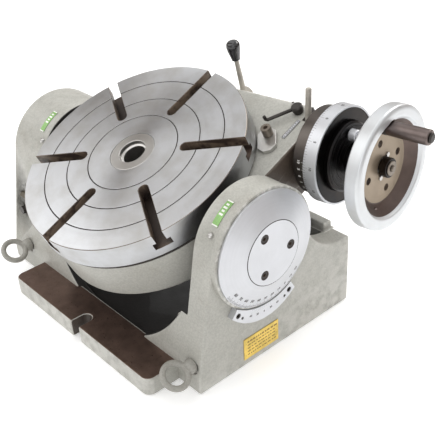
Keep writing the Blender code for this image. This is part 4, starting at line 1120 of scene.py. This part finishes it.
def all_turned():
    """The turned CAD nodes, made again with rounded edges from their own outlines."""
    for name, (line, rounding) in TURNED.items():
        look = OTHER_LOOKS.get(name, LOOKS[SLOT_OF[name]])
        made = painted(turned(name + "_visual", outline_of(name, line), line, rounding), look)
        if name == "dial_ring":
            repainted(made, LOOKS["black_turned"], on_dial_face, line)
        stands_for(made, name)


def levers():
    long_lever = softened("table_clamp_lever", 0.0006, segments=3, angle=50)
    stands_for(long_lever, "table_clamp_lever", LEVER_GREY)
    stands_for(softened("worm_clamp_lever", 0.0004, segments=3, angle=50), "worm_clamp_lever")


def clamp_knob():
    """The tapered plastic knob, turned about the lever's bar."""
    pivot = Vector(JOINTS["table_clamp_swing"]["pos_m"])
    out = Vector(JOINTS["table_clamp_swing"]["axis"])
    lean = math.radians(13)
    rise = ALONG.cross(out) * math.cos(lean) + out * math.sin(lean)
    line = axes(ALONG, rise.cross(ALONG), rise, pivot + out * 0.0075)
    profile = [(0, 0.0855), (0.0052, 0.0852), (0.0086, 0.0826), (0.0098, 0.0785), (0.0092, 0.0725),
               (0.0078, 0.0660), (0.0064, 0.0600), (0.0061, 0.0567), (0, 0.0567)]
    stands_for(turned("clamp_knob_visual", profile, line, 0.0035, 96), "table_clamp_knob", sharp=60)


def plain_nodes():
    """The CAD nodes that stay get their finish."""
    for name, obj in frame["nodes"].items():
        painted(obj, LOOKS["black_steel"] if name == "tilt_worm" else LOOKS[SLOT_OF[name]])


# ---- stage


def studio_world():
    """A white sky that darkens to a warm grey at the horizon, which the metals reflect."""
    world = bpy.data.worlds.new("studio")
    world.use_nodes = True
    where = node(world, "TexCoord").outputs["Generated"]
    height = node(world, "SeparateXYZ", [(0, where)]).outputs[2]
    sky = mixed(world, ramp(world, height, 0.0, 0.55), (0.46, 0.42, 0.38), (1.0, 1.0, 1.0))
    background = world.node_tree.nodes["Background"]
    world.node_tree.links.new(sky, background.inputs[0])
    background.inputs[1].default_value = 0.85
    bpy.context.scene.world = world


def card(name, place_at, size, target, colour=(0.15, 0.11, 0.085)):
    """A dark card that only shows in reflections."""
    bpy.ops.mesh.primitive_plane_add(size=1, location=place_at)
    made = bpy.context.object
    made.name = name
    made.scale = (*size, 1)
    made.rotation_euler = (Vector(target) - made.location).to_track_quat("Z", "Y").to_euler()
    painted(made, shader(name, colour, 0.9))
    made.visible_camera = made.visible_shadow = made.visible_diffuse = False


def floor_plane():
    """A pale floor, a hair under the feet, with a faint glow that keeps it white."""
    bpy.ops.mesh.primitive_plane_add(size=14, location=(0, 0, -0.0004))
    floor = bpy.context.object
    floor.name = "floor"
    look = shader("floor", (0.95, 0.95, 0.95), 0.7)
    surface(look, "Base Color", mixed(look, noise(look, 3), (0.93, 0.93, 0.93), (0.96, 0.96, 0.96)))
    constants(look, {"Emission Color": (1, 1, 1, 1), "Emission Strength": 0.22})
    painted(floor, look)


def lamp(name, place_at, size, power, colour):
    """A square soft light aimed at the middle of the object."""
    light = bpy.data.lights.new(name, "AREA")
    light.energy = power
    light.color = colour
    light.size = size
    made = new_object(name, light)
    made.location = place_at
    made.rotation_euler = (Vector((0, 0, 0.15)) - made.location).to_track_quat("-Z", "Y").to_euler()


def stage():
    bpy.context.scene.view_settings.view_transform = "Standard"
    floor_plane()
    studio_world()
    lamp("key", (-0.9, -0.7, 1.9), 3.0, 28, (1.0, 0.99, 0.97))
    lamp("fill", (1.6, -1.3, 1.1), 1.4, 6, (0.96, 0.98, 1.0))
    lamp("back", (0.2, 1.7, 1.5), 1.2, 20, (1.0, 0.98, 0.95))
    card("card_table", (-0.74, -0.02, 1.10), (0.42, 1.5), (0, -0.03, 0.24), (0.10, 0.075, 0.055))
    card("card_rear", (0.1, 1.25, 0.55), (1.6, 0.7), (0.05, 0.05, 0.2))
    card("card_low", (1.5, 0.7, 0.25), (1.1, 0.5), (0.05, 0.05, 0.2))


def camera():
    lens = bpy.data.cameras.new("camera")
    lens.sensor_width = 36
    lens.lens = 66.35
    view = new_object("camera", lens)
    right, up = Vector((0.6669, 0.7433, -0.0517)), Vector((-0.3581, 0.3806, 0.8526))
    back = Vector((0.6534, -0.5501, 0.5200))
    view.matrix_world = axes(right, up, back, (0.7910, -0.5608, 0.7076))
    bpy.context.scene.camera = view


camera()
stage()
plain_nodes()
base_casting()
eyebolts()
vernier_marks()
tags()
data_plate()
cradle_body()
tilt_disc()
index_block()
label_plate()
collar_marks()
rotary_table()
spindle()
dial_marks()
dial_hub()
handwheel()
all_turned()
levers()
clamp_knob()
